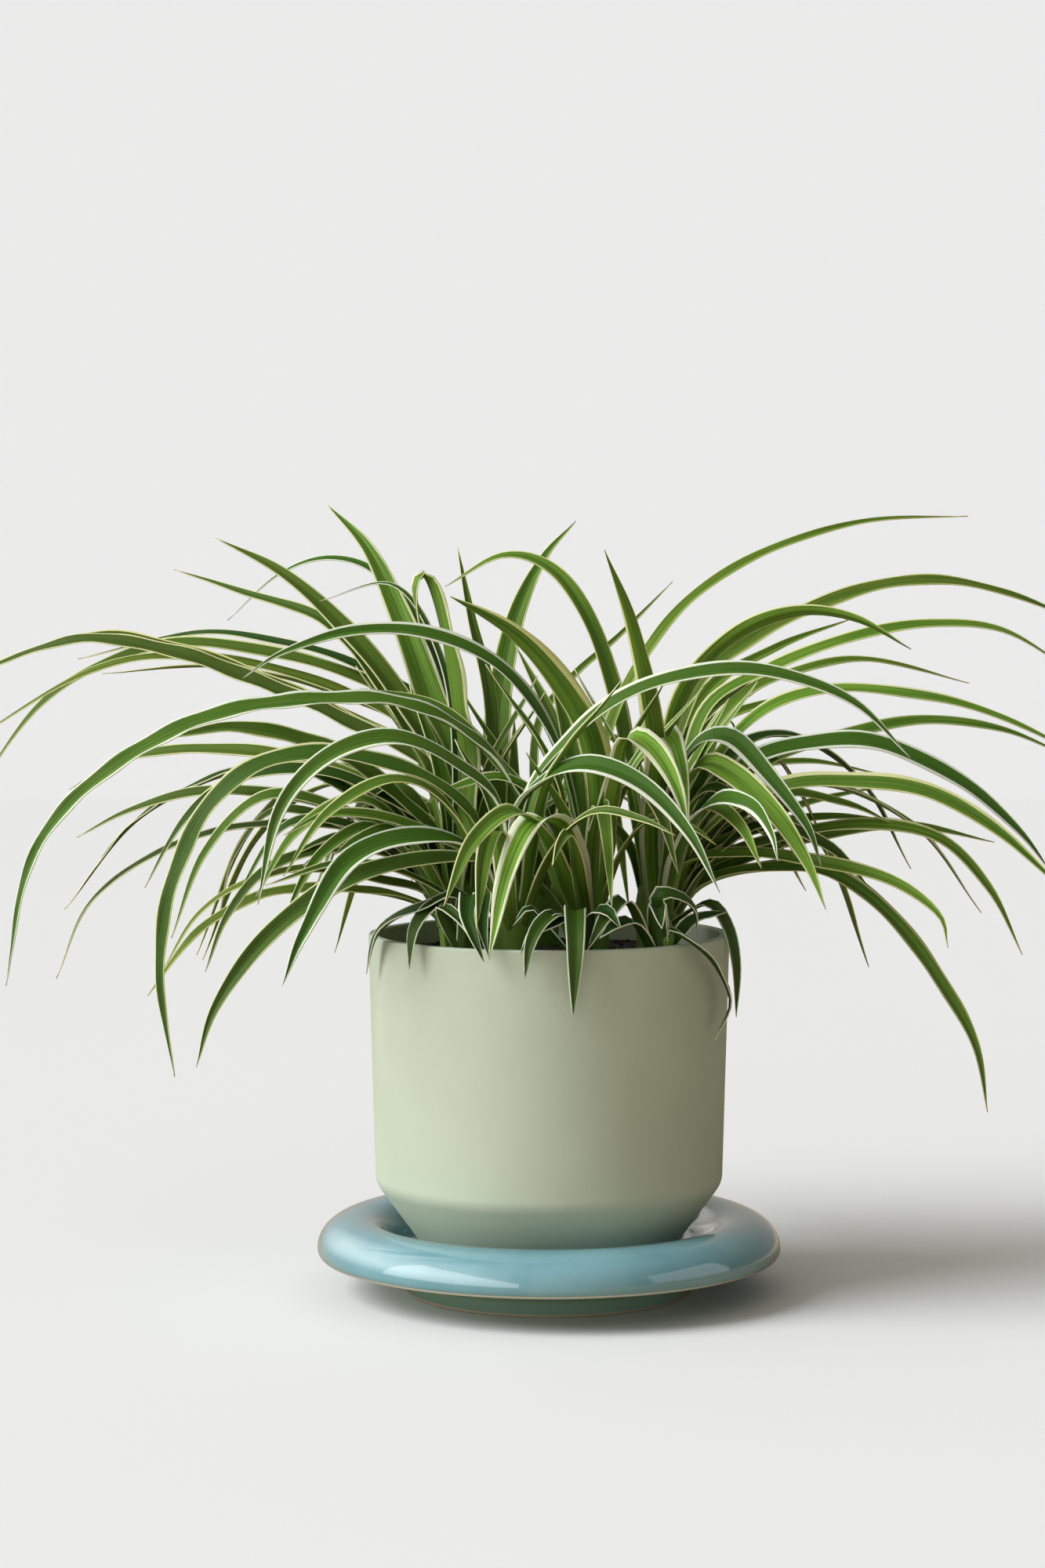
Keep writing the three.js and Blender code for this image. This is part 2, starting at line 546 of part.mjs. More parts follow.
// Young leaves in the heart of a crown: short, nearly upright, set round it by the golden angle
function heartLeaves(crown, random) {
  const [x, y] = crown.at;
  return Array.from({ length: crown.hearts ?? 0 }, (_, k) => {
    const angle = k * GOLDEN_ANGLE + random();
    const reach = drawn(HEART.reach, random);
    const rise = drawn(HEART.rise, random);
    const dx = reach * Math.cos(angle);
    const points = [[x + 0.3 * dx, crown.neck + 0.55 * rise], [x + dx, crown.neck + rise]];
    return [drawn(HEART.width, random), HEART.roll, y + reach * Math.sin(angle), points];
  });
}

// Arching leaves, one in each sector of a fan: up to their top halfway out, and down to the tip
function fannedLeaves(crown, [count, from, to], kind, random) {
  const [x, y] = crown.at;
  return Array.from({ length: count }, (_, k) => {
    const angle = THREE.MathUtils.degToRad(from + ((to - from) * (k + drawn(PLACE_IN_SECTOR, random))) / count);
    const reach = drawn(kind.reach, random);
    const top = crown.neck + drawn(kind.top, random);
    const tip = top - drawn(kind.fall, random);
    const dx = reach * Math.cos(angle);
    const points = [[x + 0.25 * dx, top - 15], [x + 0.5 * dx, top], [x + 0.8 * dx, (2 * top + tip) / 3], [x + dx, tip]];
    return [drawn(kind.width, random), kind.roll, y + reach * Math.sin(angle), points];
  });
}

// The first blade of a leaf, swung a little farther each time, that stays clear of everything in its way
function clearBlade(crown, leaf, obstacles) {
  for (const swing of SWINGS) {
    const roomy = blade(crown, leaf, swing, LEAF_GAP);
    if (obstacles.every((other) => roomy.intersect(other).isEmpty())) return blade(crown, leaf, swing, 0);
  }
  return null;
}

// The leaves of a crown in the order of their placing: the listed ones, the heart, the back and the fillers
function leafRounds(crown) {
  const random = seededRandom(crown.seed ?? 0);
  return [
    crown.leaves,
    heartLeaves(crown, random),
    fannedLeaves(crown, crown.backs ?? NO_FAN, BACK, random),
    fannedLeaves(crown, crown.fills ?? NO_FAN, FILL, random),
  ];
}

const fixed = { saucer: saucer(), pot: pot(), soil: soil() };
const growing = {};
const waiting = {};
for (const [name, crown] of Object.entries(CROWNS)) {
  growing[name] = turned(stockProfile(crown, 0), STOCK_SEGMENTS, ...crown.at);
  waiting[name] = leafRounds(crown);
}

// The listed leaves are placed first in every crown, and the drawn ones go where there is room for them
for (const round of waiting.crown_middle.keys()) {
  for (const [name, crown] of Object.entries(CROWNS)) {
    const others = Object.keys(growing).filter((other) => other !== name).map((other) => growing[other]);
    for (const leaf of waiting[name][round]) {
      const made = clearBlade(crown, leaf, [...Object.values(fixed), ...others]);
      if (made) growing[name] = growing[name].add(made);
      else if (round === 0) throw new Error(`${name}: no clear place for leaf ${JSON.stringify(leaf)}`);
    }
  }
}

const plant = new THREE.Group();
for (const [name, solid] of Object.entries(fixed)) plant.add(meshOf(name, solid, materials[name]));
for (const [name, crown] of Object.entries(CROWNS)) {
  plant.add(meshOf(name, outerBody(name, growing[name]), crown.material));
}

export default plant;
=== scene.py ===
import math
import random

import bmesh
import bpy
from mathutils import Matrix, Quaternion, Vector
from mathutils.bvhtree import BVHTree
from mathutils.geometry import interpolate_bezier


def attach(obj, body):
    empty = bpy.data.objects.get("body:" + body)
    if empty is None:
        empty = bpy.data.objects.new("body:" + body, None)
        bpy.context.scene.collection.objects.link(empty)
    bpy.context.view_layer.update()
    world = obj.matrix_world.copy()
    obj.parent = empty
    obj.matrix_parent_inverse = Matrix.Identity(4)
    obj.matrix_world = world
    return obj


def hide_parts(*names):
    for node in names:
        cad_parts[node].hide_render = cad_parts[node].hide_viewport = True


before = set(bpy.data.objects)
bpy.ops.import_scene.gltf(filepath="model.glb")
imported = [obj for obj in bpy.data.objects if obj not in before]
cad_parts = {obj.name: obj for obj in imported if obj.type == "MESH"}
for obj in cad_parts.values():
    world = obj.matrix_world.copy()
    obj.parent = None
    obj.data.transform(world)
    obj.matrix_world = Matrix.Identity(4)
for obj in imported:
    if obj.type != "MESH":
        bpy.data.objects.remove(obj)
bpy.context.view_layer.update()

# Camera: 1.4 m in front of the pot's axis at the height of the upper leaves, looking slightly down.
# Lengths are in millimetres and become metres where an object is made. Only the studio's are in metres.
MM = 0.001
EYE = Vector((-11, -1400, 287))
LENS = 77.6
SENSOR_WIDTH = 36
FARTHEST = 50000
LOOK_DOWN = math.radians(3.1)

camera = bpy.data.objects.new("camera", bpy.data.cameras.new("camera"))
camera.data.lens = LENS
camera.data.sensor_width = SENSOR_WIDTH
camera.data.clip_end = FARTHEST * MM
camera.location = EYE * MM
camera.rotation_euler = (math.pi / 2 - LOOK_DOWN, 0, 0)
bpy.context.scene.collection.objects.link(camera)
bpy.context.scene.camera = camera


# Saucer: stoneware thrown with a fat rolled rim, a shallow well and a small turned foot, dipped in a
# glossy light blue glaze. The glaze thins to a pale line where the rim turns under, and the foot's lowest
# edge is wiped bare.
FOOT_RADIUS = 60.5
FOOT_TAPER = 1
FOOT_ROUND = 1
FOOT_HEIGHT = 7
SAUCER_RADIUS = 96.5
SAUCER_WIDEST_HEIGHT = 18.5
LOWER_EDGE_RADIUS = 94.6
LOWER_EDGE_HEIGHT = 15
CREST_RADIUS = 80
CREST_HEIGHT = 31.5
LIP_RADIUS = 66.5
LIP_HEIGHT = 22
WELL_RADIUS = 56
WELL_HEIGHT = 8.5
TURNED_STEPS = 160
MERGE_WITHIN = 0.01


def linear(colour):
    """An sRGB hex colour as linear red, green and blue, with full alpha."""
    parts = [int(colour[i:i + 2], 16) / 255 for i in (1, 3, 5)]
    return [p / 12.92 if p <= 0.04045 else ((p + 0.055) / 1.055) ** 2.4 for p in parts] + [1]


def node(tree, kind, links=None, **settings):
    """Adds a shader node with its settings and links. A link is a value, a hex colour, another node's
    output, or the node itself, which stands for its first output in use."""
    made = tree.nodes.new("ShaderNode" + kind)
    for name, value in settings.items():
        setattr(made, name, value)
    for socket, source in (links or {}).items():
        if isinstance(source, bpy.types.Node):
            source = next(output for output in source.outputs if output.enabled)
        if isinstance(source, bpy.types.NodeSocket):
            tree.links.new(source, made.inputs[socket])
        else:
            made.inputs[socket].default_value = linear(source) if isinstance(source, str) else source
    return made


def new_material(name):
    """A new material and its empty node tree."""
    made = bpy.data.materials.new(name)
    made.use_nodes = True
    made.node_tree.nodes.clear()
    return made, made.node_tree


def place_on_piece(tree):
    """Where a point of the piece lies, in millimetres."""
    place = node(tree, "TexCoord").outputs["Object"]
    return node(tree, "VectorMath", {0: place, "Scale": 1 / MM}, operation="SCALE")


def bezier(*points, steps=10):
    """Points of radius and height along one curve with one or two pulls, without its first."""
    corners = [Vector((r, 0, z)) for r, z in points]
    if len(corners) == 3:
        start, bend, end = corners
        corners = [start, start.lerp(bend, 2 / 3), end.lerp(bend, 2 / 3), end]
    start, leave, arrive, end = corners
    return [(p.x, p.z) for p in interpolate_bezier(start, leave, arrive, end, steps + 1)[1:]]


def profile_edges(bm, profile, at=(0, 0)):
    """The edges of a profile of radius and height, drawn beside the upright line at a place."""
    x, y = at
    verts = [bm.verts.new(((x + r) * MM, y * MM, z * MM)) for r, z in profile]
    return [bm.edges.new(pair) for pair in zip(verts, verts[1:])]


def spin_profile(bm, steps, at=(0, 0)):
    """Spins the profile a full turn round the upright line at a place, and closes its seam and poles."""
    x, y = at
    bmesh.ops.spin(
        bm, geom=bm.verts[:] + bm.edges[:], cent=(x * MM, y * MM, 0), axis=(0, 0, 1), dvec=(0, 0, 0),
        angle=math.tau, steps=steps, use_merge=True, use_duplicate=False,
    )
    bmesh.ops.remove_doubles(bm, verts=bm.verts, dist=MERGE_WITHIN * MM)


def turned_piece(name, profile, material, cad_node):
    """A piece spun round the pot's axis, in place of its CAD node."""
    bm = bmesh.new()
    profile_edges(bm, profile)
    spin_profile(bm, TURNED_STEPS)
    bmesh.ops.recalc_face_normals(bm, faces=bm.faces)
    finished(name, bm, material, cad_node)


def finished(name, bm, material, cad_node):
    """The mesh as an object that stands for its CAD node and rides with it."""
    mesh = bpy.data.meshes.new(name)
    bm.to_mesh(mesh)
    bm.free()
    mesh.shade_smooth()
    mesh.materials.append(material)
    piece = bpy.data.objects.new(name, mesh)
    bpy.context.scene.collection.objects.link(piece)
    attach(piece, "root")
    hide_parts(cad_node)
    return piece


# Glossy light blue stoneware glaze. It gives sharp reflections over a soft, faintly mottled colour. Low on
# the saucer, on the foot and in the well, it is painted paler and greener as a painted bounce light for the
# shaded foot.
CLOUD_MM = 30
SPECK_MM = 2.5
# Heights in millimetres between which the painted bounce light fades in, low on the saucer.
BOUNCE_LIGHT_TOP = 13
BOUNCE_LIGHT_FULL = 10
UNDER_INNER = 62
UNDER_FULL = 90
THIN_RISE = 0.5
THIN_REACH = 0.8
THIN_FULL = 0.3
BARE_TOP = 1.5
BARE_FULL = 1.1
blue_glaze, tree = new_material("light_blue_gloss_glaze")
place = place_on_piece(tree)
height = node(tree, "SeparateXYZ", {"Vector": place}).outputs["Z"]
level = node(tree, "VectorMath", {0: place, 1: (1, 1, 0)}, operation="MULTIPLY")
radius = node(tree, "VectorMath", {0: level}, operation="LENGTH")
clouds = node(tree, "TexNoise", {"Vector": place, "Scale": 1 / CLOUD_MM, "Detail": 3})
specks = node(tree, "TexNoise", {"Vector": place, "Scale": 1 / SPECK_MM, "Detail": 2})
cloudy = node(tree, "MapRange", {"Value": clouds, "From Min": 0.35, "From Max": 0.65})
speckled = node(tree, "MapRange", {"Value": specks, "From Min": 0.6, "From Max": 0.75, "To Max": 0.15})
# Painted bounce light: below these heights the foot and the well are painted paler and greener. Out under the
# rim it fades back to blue.
bounce_light_low = node(tree, "MapRange", {"Value": height, "From Min": BOUNCE_LIGHT_TOP, "From Max": BOUNCE_LIGHT_FULL})
outward = node(tree, "MapRange", {"Value": radius, "From Min": UNDER_INNER, "From Max": UNDER_FULL})
under = node(tree, "Math", {0: bounce_light_low, 1: outward}, operation="MULTIPLY")
above_line = node(tree, "Math", {0: height, 1: LOWER_EDGE_HEIGHT + THIN_RISE}, operation="SUBTRACT")
from_line = node(tree, "Math", {0: above_line}, operation="ABSOLUTE")
thin = node(tree, "MapRange", {
    "Value": from_line, "From Min": THIN_REACH, "From Max": THIN_FULL, "To Max": 0.9,
})
bare = node(tree, "MapRange", {"Value": height, "From Min": BARE_TOP, "From Max": BARE_FULL})
colour = "#6c9eaa"
# Layers: mottle, specks, painted bounce light low on the saucer, its fade under the rim, the thin pale line
# and the bare foot.
for share, tint in (
    (cloudy, "#7cacb7"),
    (speckled, "#5b8d9d"),
    (bounce_light_low, "#9ac6b9"),
    (under, "#6b9ea6"),
    (thin, "#eef0e8"),
    (bare, "#d9cdb8"),
):
    colour = node(tree, "Mix", {"Factor": share, "A": colour, "B": tint}, data_type="RGBA")
shader = node(tree, "BsdfPrincipled", {
    "Base Color": colour,
    "Roughness": node(tree, "MapRange", {"Value": bare, "To Min": 0.12, "To Max": 0.8}),
    "Normal": node(tree, "Bump", {"Height": clouds, "Strength": 0.15, "Distance": 0.3 * MM}),
    "IOR": 1.52,
    "Coat Weight": 1,
    "Coat Roughness": 0.02,
})
node(tree, "OutputMaterial", {"Surface": shader})

# Each curve starts where the last one ends. It has one or two pulls, an end and a number of steps.
profile = [(0, 0), (FOOT_RADIUS - FOOT_TAPER - FOOT_ROUND, 0)]
for *points, steps in (
    ((FOOT_RADIUS - FOOT_TAPER, 0), (FOOT_RADIUS - 0.85, FOOT_ROUND), 3),
    ((FOOT_RADIUS - 0.3, 4), (FOOT_RADIUS, FOOT_HEIGHT), 4),
    ((FOOT_RADIUS + 10, FOOT_HEIGHT + 2.5), (LOWER_EDGE_RADIUS, LOWER_EDGE_HEIGHT), 14),
    ((SAUCER_RADIUS, LOWER_EDGE_HEIGHT + 1), (SAUCER_RADIUS, SAUCER_WIDEST_HEIGHT), 10),
    ((SAUCER_RADIUS, SAUCER_WIDEST_HEIGHT + 7.5), (CREST_RADIUS + 9, CREST_HEIGHT),
     (CREST_RADIUS, CREST_HEIGHT), 14),
    ((CREST_RADIUS - 8, CREST_HEIGHT), (LIP_RADIUS + 2, LIP_HEIGHT + 5), (LIP_RADIUS, LIP_HEIGHT), 12),
    ((LIP_RADIUS - 3, WELL_HEIGHT + 1), (WELL_RADIUS, WELL_HEIGHT), 10),
):
    profile += bezier(profile[-1], *points, steps=steps)
profile += [(WELL_RADIUS / 2, WELL_HEIGHT), (0, WELL_HEIGHT)]
turned_piece("saucer_glazed", profile, blue_glaze, "saucer")


# Pot: slip-cast stoneware with a slightly flared wall over a steep cone and a drain hole, under a dry,
# sage green matte glaze. It stands loose in the saucer's well.
RIM_RADIUS = 75
RIM_HEIGHT = 149.4
RIM_ROUND = 1
CREASE_RADIUS = 72.2
CREASE_HEIGHT = 46
CREASE_ROUND = 3
SEAT_GAP = 0.3
POT_BASE_RADIUS = 45
POT_BASE_HEIGHT = WELL_HEIGHT + SEAT_GAP
POT_BASE_ROUND = (0.8, 1)
POT_WALL = 4
POT_FLOOR_HEIGHT = POT_BASE_HEIGHT + 7
DRAIN_RADIUS = 7

# Sage matte glaze. It scatters light evenly, with a fine dry grain and hardly any shine.
POT_CLOUD_MM = 45
GRAIN_MM = 0.7
sage_glaze, tree = new_material("sage_matte_glaze")
place = place_on_piece(tree)
clouds = node(tree, "TexNoise", {"Vector": place, "Scale": 1 / POT_CLOUD_MM, "Detail": 4})
grain = node(tree, "TexNoise", {"Vector": place, "Scale": 1 / GRAIN_MM, "Detail": 3})
cloudy = node(tree, "MapRange", {"Value": clouds, "From Min": 0.3, "From Max": 0.7})
grainy = node(tree, "MapRange", {"Value": grain, "From Min": 0.62, "From Max": 0.8, "To Max": 0.35})
rough = node(tree, "MapRange", {
    "Value": grain, "From Min": 0.3, "From Max": 0.7, "To Min": 0.62, "To Max": 0.74,
})
colour = "#b9c6b2"
for share, tint in ((cloudy, "#c1cebb"), (grainy, "#a4b29a")):
    colour = node(tree, "Mix", {"Factor": share, "A": colour, "B": tint}, data_type="RGBA")
shader = node(tree, "BsdfPrincipled", {
    "Base Color": colour,
    "Roughness": rough,
    "Normal": node(tree, "Bump", {"Height": grain, "Strength": 0.25, "Distance": 0.05 * MM}),
    "IOR": 1.45,
})
node(tree, "OutputMaterial", {"Surface": shader})

slope = (CREASE_RADIUS - POT_BASE_RADIUS) / (CREASE_HEIGHT - POT_BASE_HEIGHT)
flare = (RIM_RADIUS - CREASE_RADIUS) / (RIM_HEIGHT - CREASE_HEIGHT)
below = (CREASE_RADIUS - slope * CREASE_ROUND, CREASE_HEIGHT - CREASE_ROUND)
above = (CREASE_RADIUS + flare * CREASE_ROUND, CREASE_HEIGHT + CREASE_ROUND)
wall_top = RIM_RADIUS - POT_WALL
profile = [(DRAIN_RADIUS, POT_BASE_HEIGHT), (POT_BASE_RADIUS - POT_BASE_ROUND[0], POT_BASE_HEIGHT)]
rounded = (POT_BASE_RADIUS + slope * POT_BASE_ROUND[1], POT_BASE_HEIGHT + POT_BASE_ROUND[1])
profile += bezier(profile[-1], (POT_BASE_RADIUS, POT_BASE_HEIGHT), rounded, steps=4)
profile += [below] + bezier(below, (CREASE_RADIUS, CREASE_HEIGHT), above, steps=8)
profile += [(RIM_RADIUS - flare * RIM_ROUND, RIM_HEIGHT - RIM_ROUND)]
profile += bezier(profile[-1], (RIM_RADIUS, RIM_HEIGHT), (RIM_RADIUS - RIM_ROUND, RIM_HEIGHT), steps=5)
profile += [(wall_top + RIM_ROUND, RIM_HEIGHT)]
profile += bezier(profile[-1], (wall_top, RIM_HEIGHT), (wall_top, RIM_HEIGHT - RIM_ROUND), steps=5)
profile += [
    (CREASE_RADIUS - POT_WALL, CREASE_HEIGHT),
    (POT_BASE_RADIUS, POT_FLOOR_HEIGHT),
    (DRAIN_RADIUS, POT_FLOOR_HEIGHT),
    (DRAIN_RADIUS, POT_BASE_HEIGHT),
]
turned_piece("pot_glazed", profile, sage_glaze, "pot")


# Soil: dark, crumbly potting mix of peat and bark, pressed up to just under the rim, with a few paler
# crumbs on top.
SOIL_TOP = 141.5
SOIL_EDGE_DROP = 1.5
SOIL_DENT = 1.6
SOIL_RINGS = 24
SOIL_STEPS = 96
CRUMB_COUNT = 420
CRUMB_MM = (1.2, 3.4)
CRUMB_SQUASH = (0.75, 1.1)
SOIL_SEED = 5

# Potting mix. It is rough, almost black where it is wet, and brown on the dry crumbs.
CRUMB_GRAIN_MM = 3
FIBRE_MM = 0.8
potting_mix, tree = new_material("potting_mix")
place = place_on_piece(tree)
crumbs = node(tree, "TexNoise", {"Vector": place, "Scale": 1 / CRUMB_GRAIN_MM, "Detail": 5})
fibres = node(tree, "TexNoise", {"Vector": place, "Scale": 1 / FIBRE_MM, "Detail": 4})
dry = node(tree, "MapRange", {"Value": crumbs, "From Min": 0.4, "From Max": 0.62})
fibrous = node(tree, "MapRange", {"Value": fibres, "From Min": 0.62, "From Max": 0.72, "To Max": 0.6})
colour = "#17110d"
for share, tint in ((dry, "#3a2b20"), (fibrous, "#6b5540")):
    colour = node(tree, "Mix", {"Factor": share, "A": colour, "B": tint}, data_type="RGBA")
shader = node(tree, "BsdfPrincipled", {
    "Base Color": colour,
    "Roughness": 0.95,
    "Normal": node(tree, "Bump", {"Height": crumbs, "Strength": 0.8, "Distance": 1.2 * MM}),
})
node(tree, "OutputMaterial", {"Surface": shader})

draw = random.Random(SOIL_SEED)
edge_height = SOIL_TOP - SOIL_EDGE_DROP
crease_radius = CREASE_RADIUS - POT_WALL - SEAT_GAP
edge_radius = crease_radius + flare * (edge_height - CREASE_HEIGHT)
soil_base = POT_FLOOR_HEIGHT + SEAT_GAP
bm = bmesh.new()
edges = profile_edges(bm, [
    (0, SOIL_TOP),
    (edge_radius, edge_height),
    (crease_radius, CREASE_HEIGHT),
    (POT_BASE_RADIUS - SEAT_GAP, soil_base),
    (0, soil_base),
])
bmesh.ops.subdivide_edges(bm, edges=edges[:1], cuts=SOIL_RINGS - 1)
spin_profile(bm, SOIL_STEPS)
bmesh.ops.recalc_face_normals(bm, faces=bm.faces)
for vert in bm.verts:
    if vert.co.z > (edge_height + MERGE_WITHIN) * MM:
        vert.co.z -= draw.uniform(0, SOIL_DENT) * MM
for _ in range(CRUMB_COUNT):
    size = draw.uniform(*CRUMB_MM) * MM
    out = math.sqrt(draw.random()) * (edge_radius * MM - size)
    turn = draw.uniform(0, math.tau)
    crumb = bmesh.ops.create_icosphere(bm, subdivisions=1, radius=size / 2)["verts"]
    for vert in crumb:
        vert.co *= draw.uniform(*CRUMB_SQUASH)
        vert.co += Vector((out * math.cos(turn), out * math.sin(turn), (SOIL_TOP - SOIL_DENT) * MM))
finished("soil_crumbly", bm, potting_mix, "soil")


# Plantlets: three small young plants at the front rim, each on a short root stock in the soil. Their leaves
# are dark with white margins, and some hang over the rim. Like every leaf of this plant, each is a blade
# that leaves its root folded like a gutter and opens towards a fine point, with veins along it.
ROOT_DEPTH = 7
ROOT_OFFSET = 3
SHEATH_WIDTH = 0.6
SHEATH_WIDENING = 1.3
TAPER_POWER = 3.2
LEAST_WIDTH = 0.01
FOLD_OPEN = math.radians(24)
FOLD_AT_ROOT = math.radians(48)
FOLD_SHARE = 0.3
KEEL_POWER = 1.15
ROLL_SHARE = 0.8
WAVE_MM = (25, 60)
WAVE_SHARE = (0.02, 0.05)
WAVE_FADES_UNDER = 3
BLADE_MM = 0.45
STEP_MM = 4
LEAST_STEPS = 8
FLAT_PARTS = 6
CURVE_PARTS = 24
STOCK_DEPTH = 20
STOCK_STRAIGHT = 2
STOCK_STEPS = 24
STOCK_GREEN = 0.5
CORE = ((1.15, 0), (0.95, 1.2), (0.5, 1.9), (0, 2.2))

# A leaf in a CAD node may swing its tip this far nearer or farther. The swing is the one with which points
# at these shares of the leaf miss the node's surface least, and by less than the limit.
SWINGS = [way * step for step in (0, 5, 10, 15, 20, 26, 32, 40, 50, 60, 70, 80) for way in (1, -1)][1:]
MATCHED_AT = (0.55, 0.75, 0.9, 1)
MISS_LIMIT = 2.5

# The looks: how light and how olive the green is, how wide the margin on each side is as a share of half
# the leaf, and how white the margin is. Each leaf strays a little from its look.
LOOKS = {
    "pale": (0.6, 0.12, 0.15, 0.15, 0.3),
    "fine": (0.25, 0.2, 0.12, 0.12, 0.2),
    "white": (0.28, 0.0, 0.22, 0.22, 0.85),
    "white_left": (0.25, 0.0, 0.38, 0.14, 0.9),
    "white_right": (0.25, 0.0, 0.14, 0.38, 0.9),
    "bright": (1.0, 0.1, 0.36, 0.36, 0.6),
    "cream": (0.5, 0.2, 0.1, 0.34, 0.1),
    "creamy": (0.5, 0.2, 0.34, 0.1, 0.1),
    "plain": (0.5, 0.3, 0.05, 0.05, 0.1),
    "deep": (0.03, 0.1, 0.11, 0.11, 0.3),
    "light": (0.8, 0.22, 0.15, 0.15, 0.2),
    "olive": (0.3, 0.55, 0.1, 0.1, 0.05),
    "dark": (0.0, 0.0, 0.13, 0.13, 0.85),
}
LOOK_SEED = 11
GREEN_STRAY = (-0.12, 0.12)
OLIVE_STRAY = (-0.1, 0.15)
WHITE_STRAY = (-0.1, 0.1)
EDGE_STRAY = (0.85, 1.15)

# What a leaf's vertices tell its material: the leaf's look, a draw of its own, and the place on the blade.
LEAF_VALUES = (
    "green", "olive", "left_edge", "right_edge", "white", "leaf_draw", "across", "along", "share", "half",
)


def along_sight(x, z, y):
    """A point seen at X and Z in the plane of the axis, moved along the line of sight to depth Y."""
    share = (y - EYE.y) / -EYE.y
    return Vector((EYE.x + (x - EYE.x) * share, y, EYE.z + (z - EYE.z) * share))


def midrib(crown, depth, seen, swing):
    """The points in space that a leaf's midrib passes, and the level way that it leaves its crown."""
    root = Vector((*crown["at"], crown["neck"] - ROOT_DEPTH))
    scale = -EYE.y / (root.y - EYE.y)
    steps = [(EYE.x + (root.x - EYE.x) * scale, EYE.z + (root.z - EYE.z) * scale)] + [p[:2] for p in seen]
    lengths = [math.dist(a, b) for a, b in zip(steps, steps[1:])]
    points, gone = [], 0
    for (x, z, *own), length in zip(seen, lengths):
        gone += length
        share = gone / sum(lengths)
        y = own[0] if own else root.y + (depth - root.y) * share
        points.append(along_sight(x, z, y + swing * share))
    away = max(((p - root) * Vector((1, 1, 0)) for p in points), key=lambda level: level.length).normalized()
    return [root + away * ROOT_OFFSET] + points, away


def curve_through(knots):
    """A smooth curve through the knots, as points in even steps of its length, and that length."""
    last = len(knots) - 1
    tangents = [
        (knots[min(i + 1, last)] - knots[max(i - 1, 0)]) / (6 if 0 < i < last else 3) for i in range(last + 1)
    ]
    fine = [knots[0]]
    for a, b, leave, arrive in zip(knots, knots[1:], tangents, tangents[1:]):
        fine += interpolate_bezier(a, a + leave, b - arrive, b, CURVE_PARTS + 1)[1:]
    gone = [0]
    for a, b in zip(fine, fine[1:]):
        gone.append(gone[-1] + (b - a).length)
    count = max(LEAST_STEPS, round(gone[-1] / STEP_MM))
    points, i = [], 0
    for k in range(count + 1):
        wanted = gone[-1] * k / count
        while i < len(fine) - 2 and gone[i + 1] < wanted:
            i += 1
        points.append(fine[i].lerp(fine[i + 1], (wanted - gone[i]) / (gone[i + 1] - gone[i])))
    return points, gone[-1]


def swing_of(crown, depth, seen, cad_tree):
    """How far the leaf's tip swings in the CAD node, or None where the node has no such leaf."""
    best, least = None, MISS_LIMIT
    for swing in SWINGS:
        points = curve_through(midrib(crown, depth, seen, swing)[0])[0]
        tries = [points[round(len(points) * share) - 1] for share in MATCHED_AT]
        miss = max(cad_tree.find_nearest(p * MM)[3] / MM for p in tries)
        if miss < least:
            best, least = swing, miss
    return best


def strayed(value, stray, draw):
    """A value of a look moved by a draw and held from 0 to 1."""
    return min(1, max(0, value + draw.uniform(*stray)))


def add_leaf(bm, crown, row, swing, draw):
    """One blade: a grid bent along the midrib and folded across it, with its look on its vertices."""
    width, roll, depth, look, seen = row
    knots, away = midrib(crown, depth, seen, swing)
    centres, length = curve_through(knots)
    rows = len(centres) - 1
    across = Vector((-away.y, away.x, 0))
    full_roll = math.radians(roll) * (-1 if across.y < 0 else 1)
    waves = draw.uniform(*WAVE_MM)
    phase = draw.uniform(0, math.tau)
    wave = draw.uniform(*WAVE_SHARE) * width
    green, olive, left_edge, right_edge, white = LOOKS[look]
    values = {
        "green": strayed(green, GREEN_STRAY, draw),
        "olive": strayed(olive, OLIVE_STRAY, draw),
        "left_edge": left_edge * draw.uniform(*EDGE_STRAY),
        "right_edge": right_edge * draw.uniform(*EDGE_STRAY),
        "white": strayed(white, WHITE_STRAY, draw),
        "leaf_draw": draw.random(),
    }
    layers = {name: bm.verts.layers.float[name] for name in LEAF_VALUES}
    grid = bmesh.ops.create_grid(bm, x_segments=FLAT_PARTS, y_segments=rows, size=1)["verts"]
    frames = []
    for i, centre in enumerate(centres):
        tangent = (centres[min(i + 1, rows)] - centres[max(i - 1, 0)]).normalized()
        share = i / rows
        side = (across - tangent * across.dot(tangent)).normalized()
        side.rotate(Quaternion(tangent, full_roll * min(1, share / ROLL_SHARE)))
        up = tangent.cross(side)
        taper = min(1, SHEATH_WIDTH + SHEATH_WIDENING * share) * (1 - share ** TAPER_POWER)
        half = width / 2 * max(LEAST_WIDTH, taper)
        fold = FOLD_OPEN + (FOLD_AT_ROOT - FOLD_OPEN) * (1 - min(1, share / FOLD_SHARE)) ** 2
        frames.append((centre, side, up, half, half * math.tan(fold)))
    for vert in grid:
        u = vert.co.x
        i = round((vert.co.y + 1) / 2 * rows)
        centre, side, up, half, keel = frames[i]
        along = length * i / rows
        swell = wave * u * u * math.sin(phase + u + along / waves * math.tau)
        lift = swell * min(1, half / WAVE_FADES_UNDER) - keel * (1 - abs(u) ** KEEL_POWER)
        vert.co = (centre + side * half * u + up * lift) * MM
        own = {"across": u, "along": along, "share": i / rows, "half": half}
        for name, value in {**values, **own}.items():
            vert[layers[name]] = value


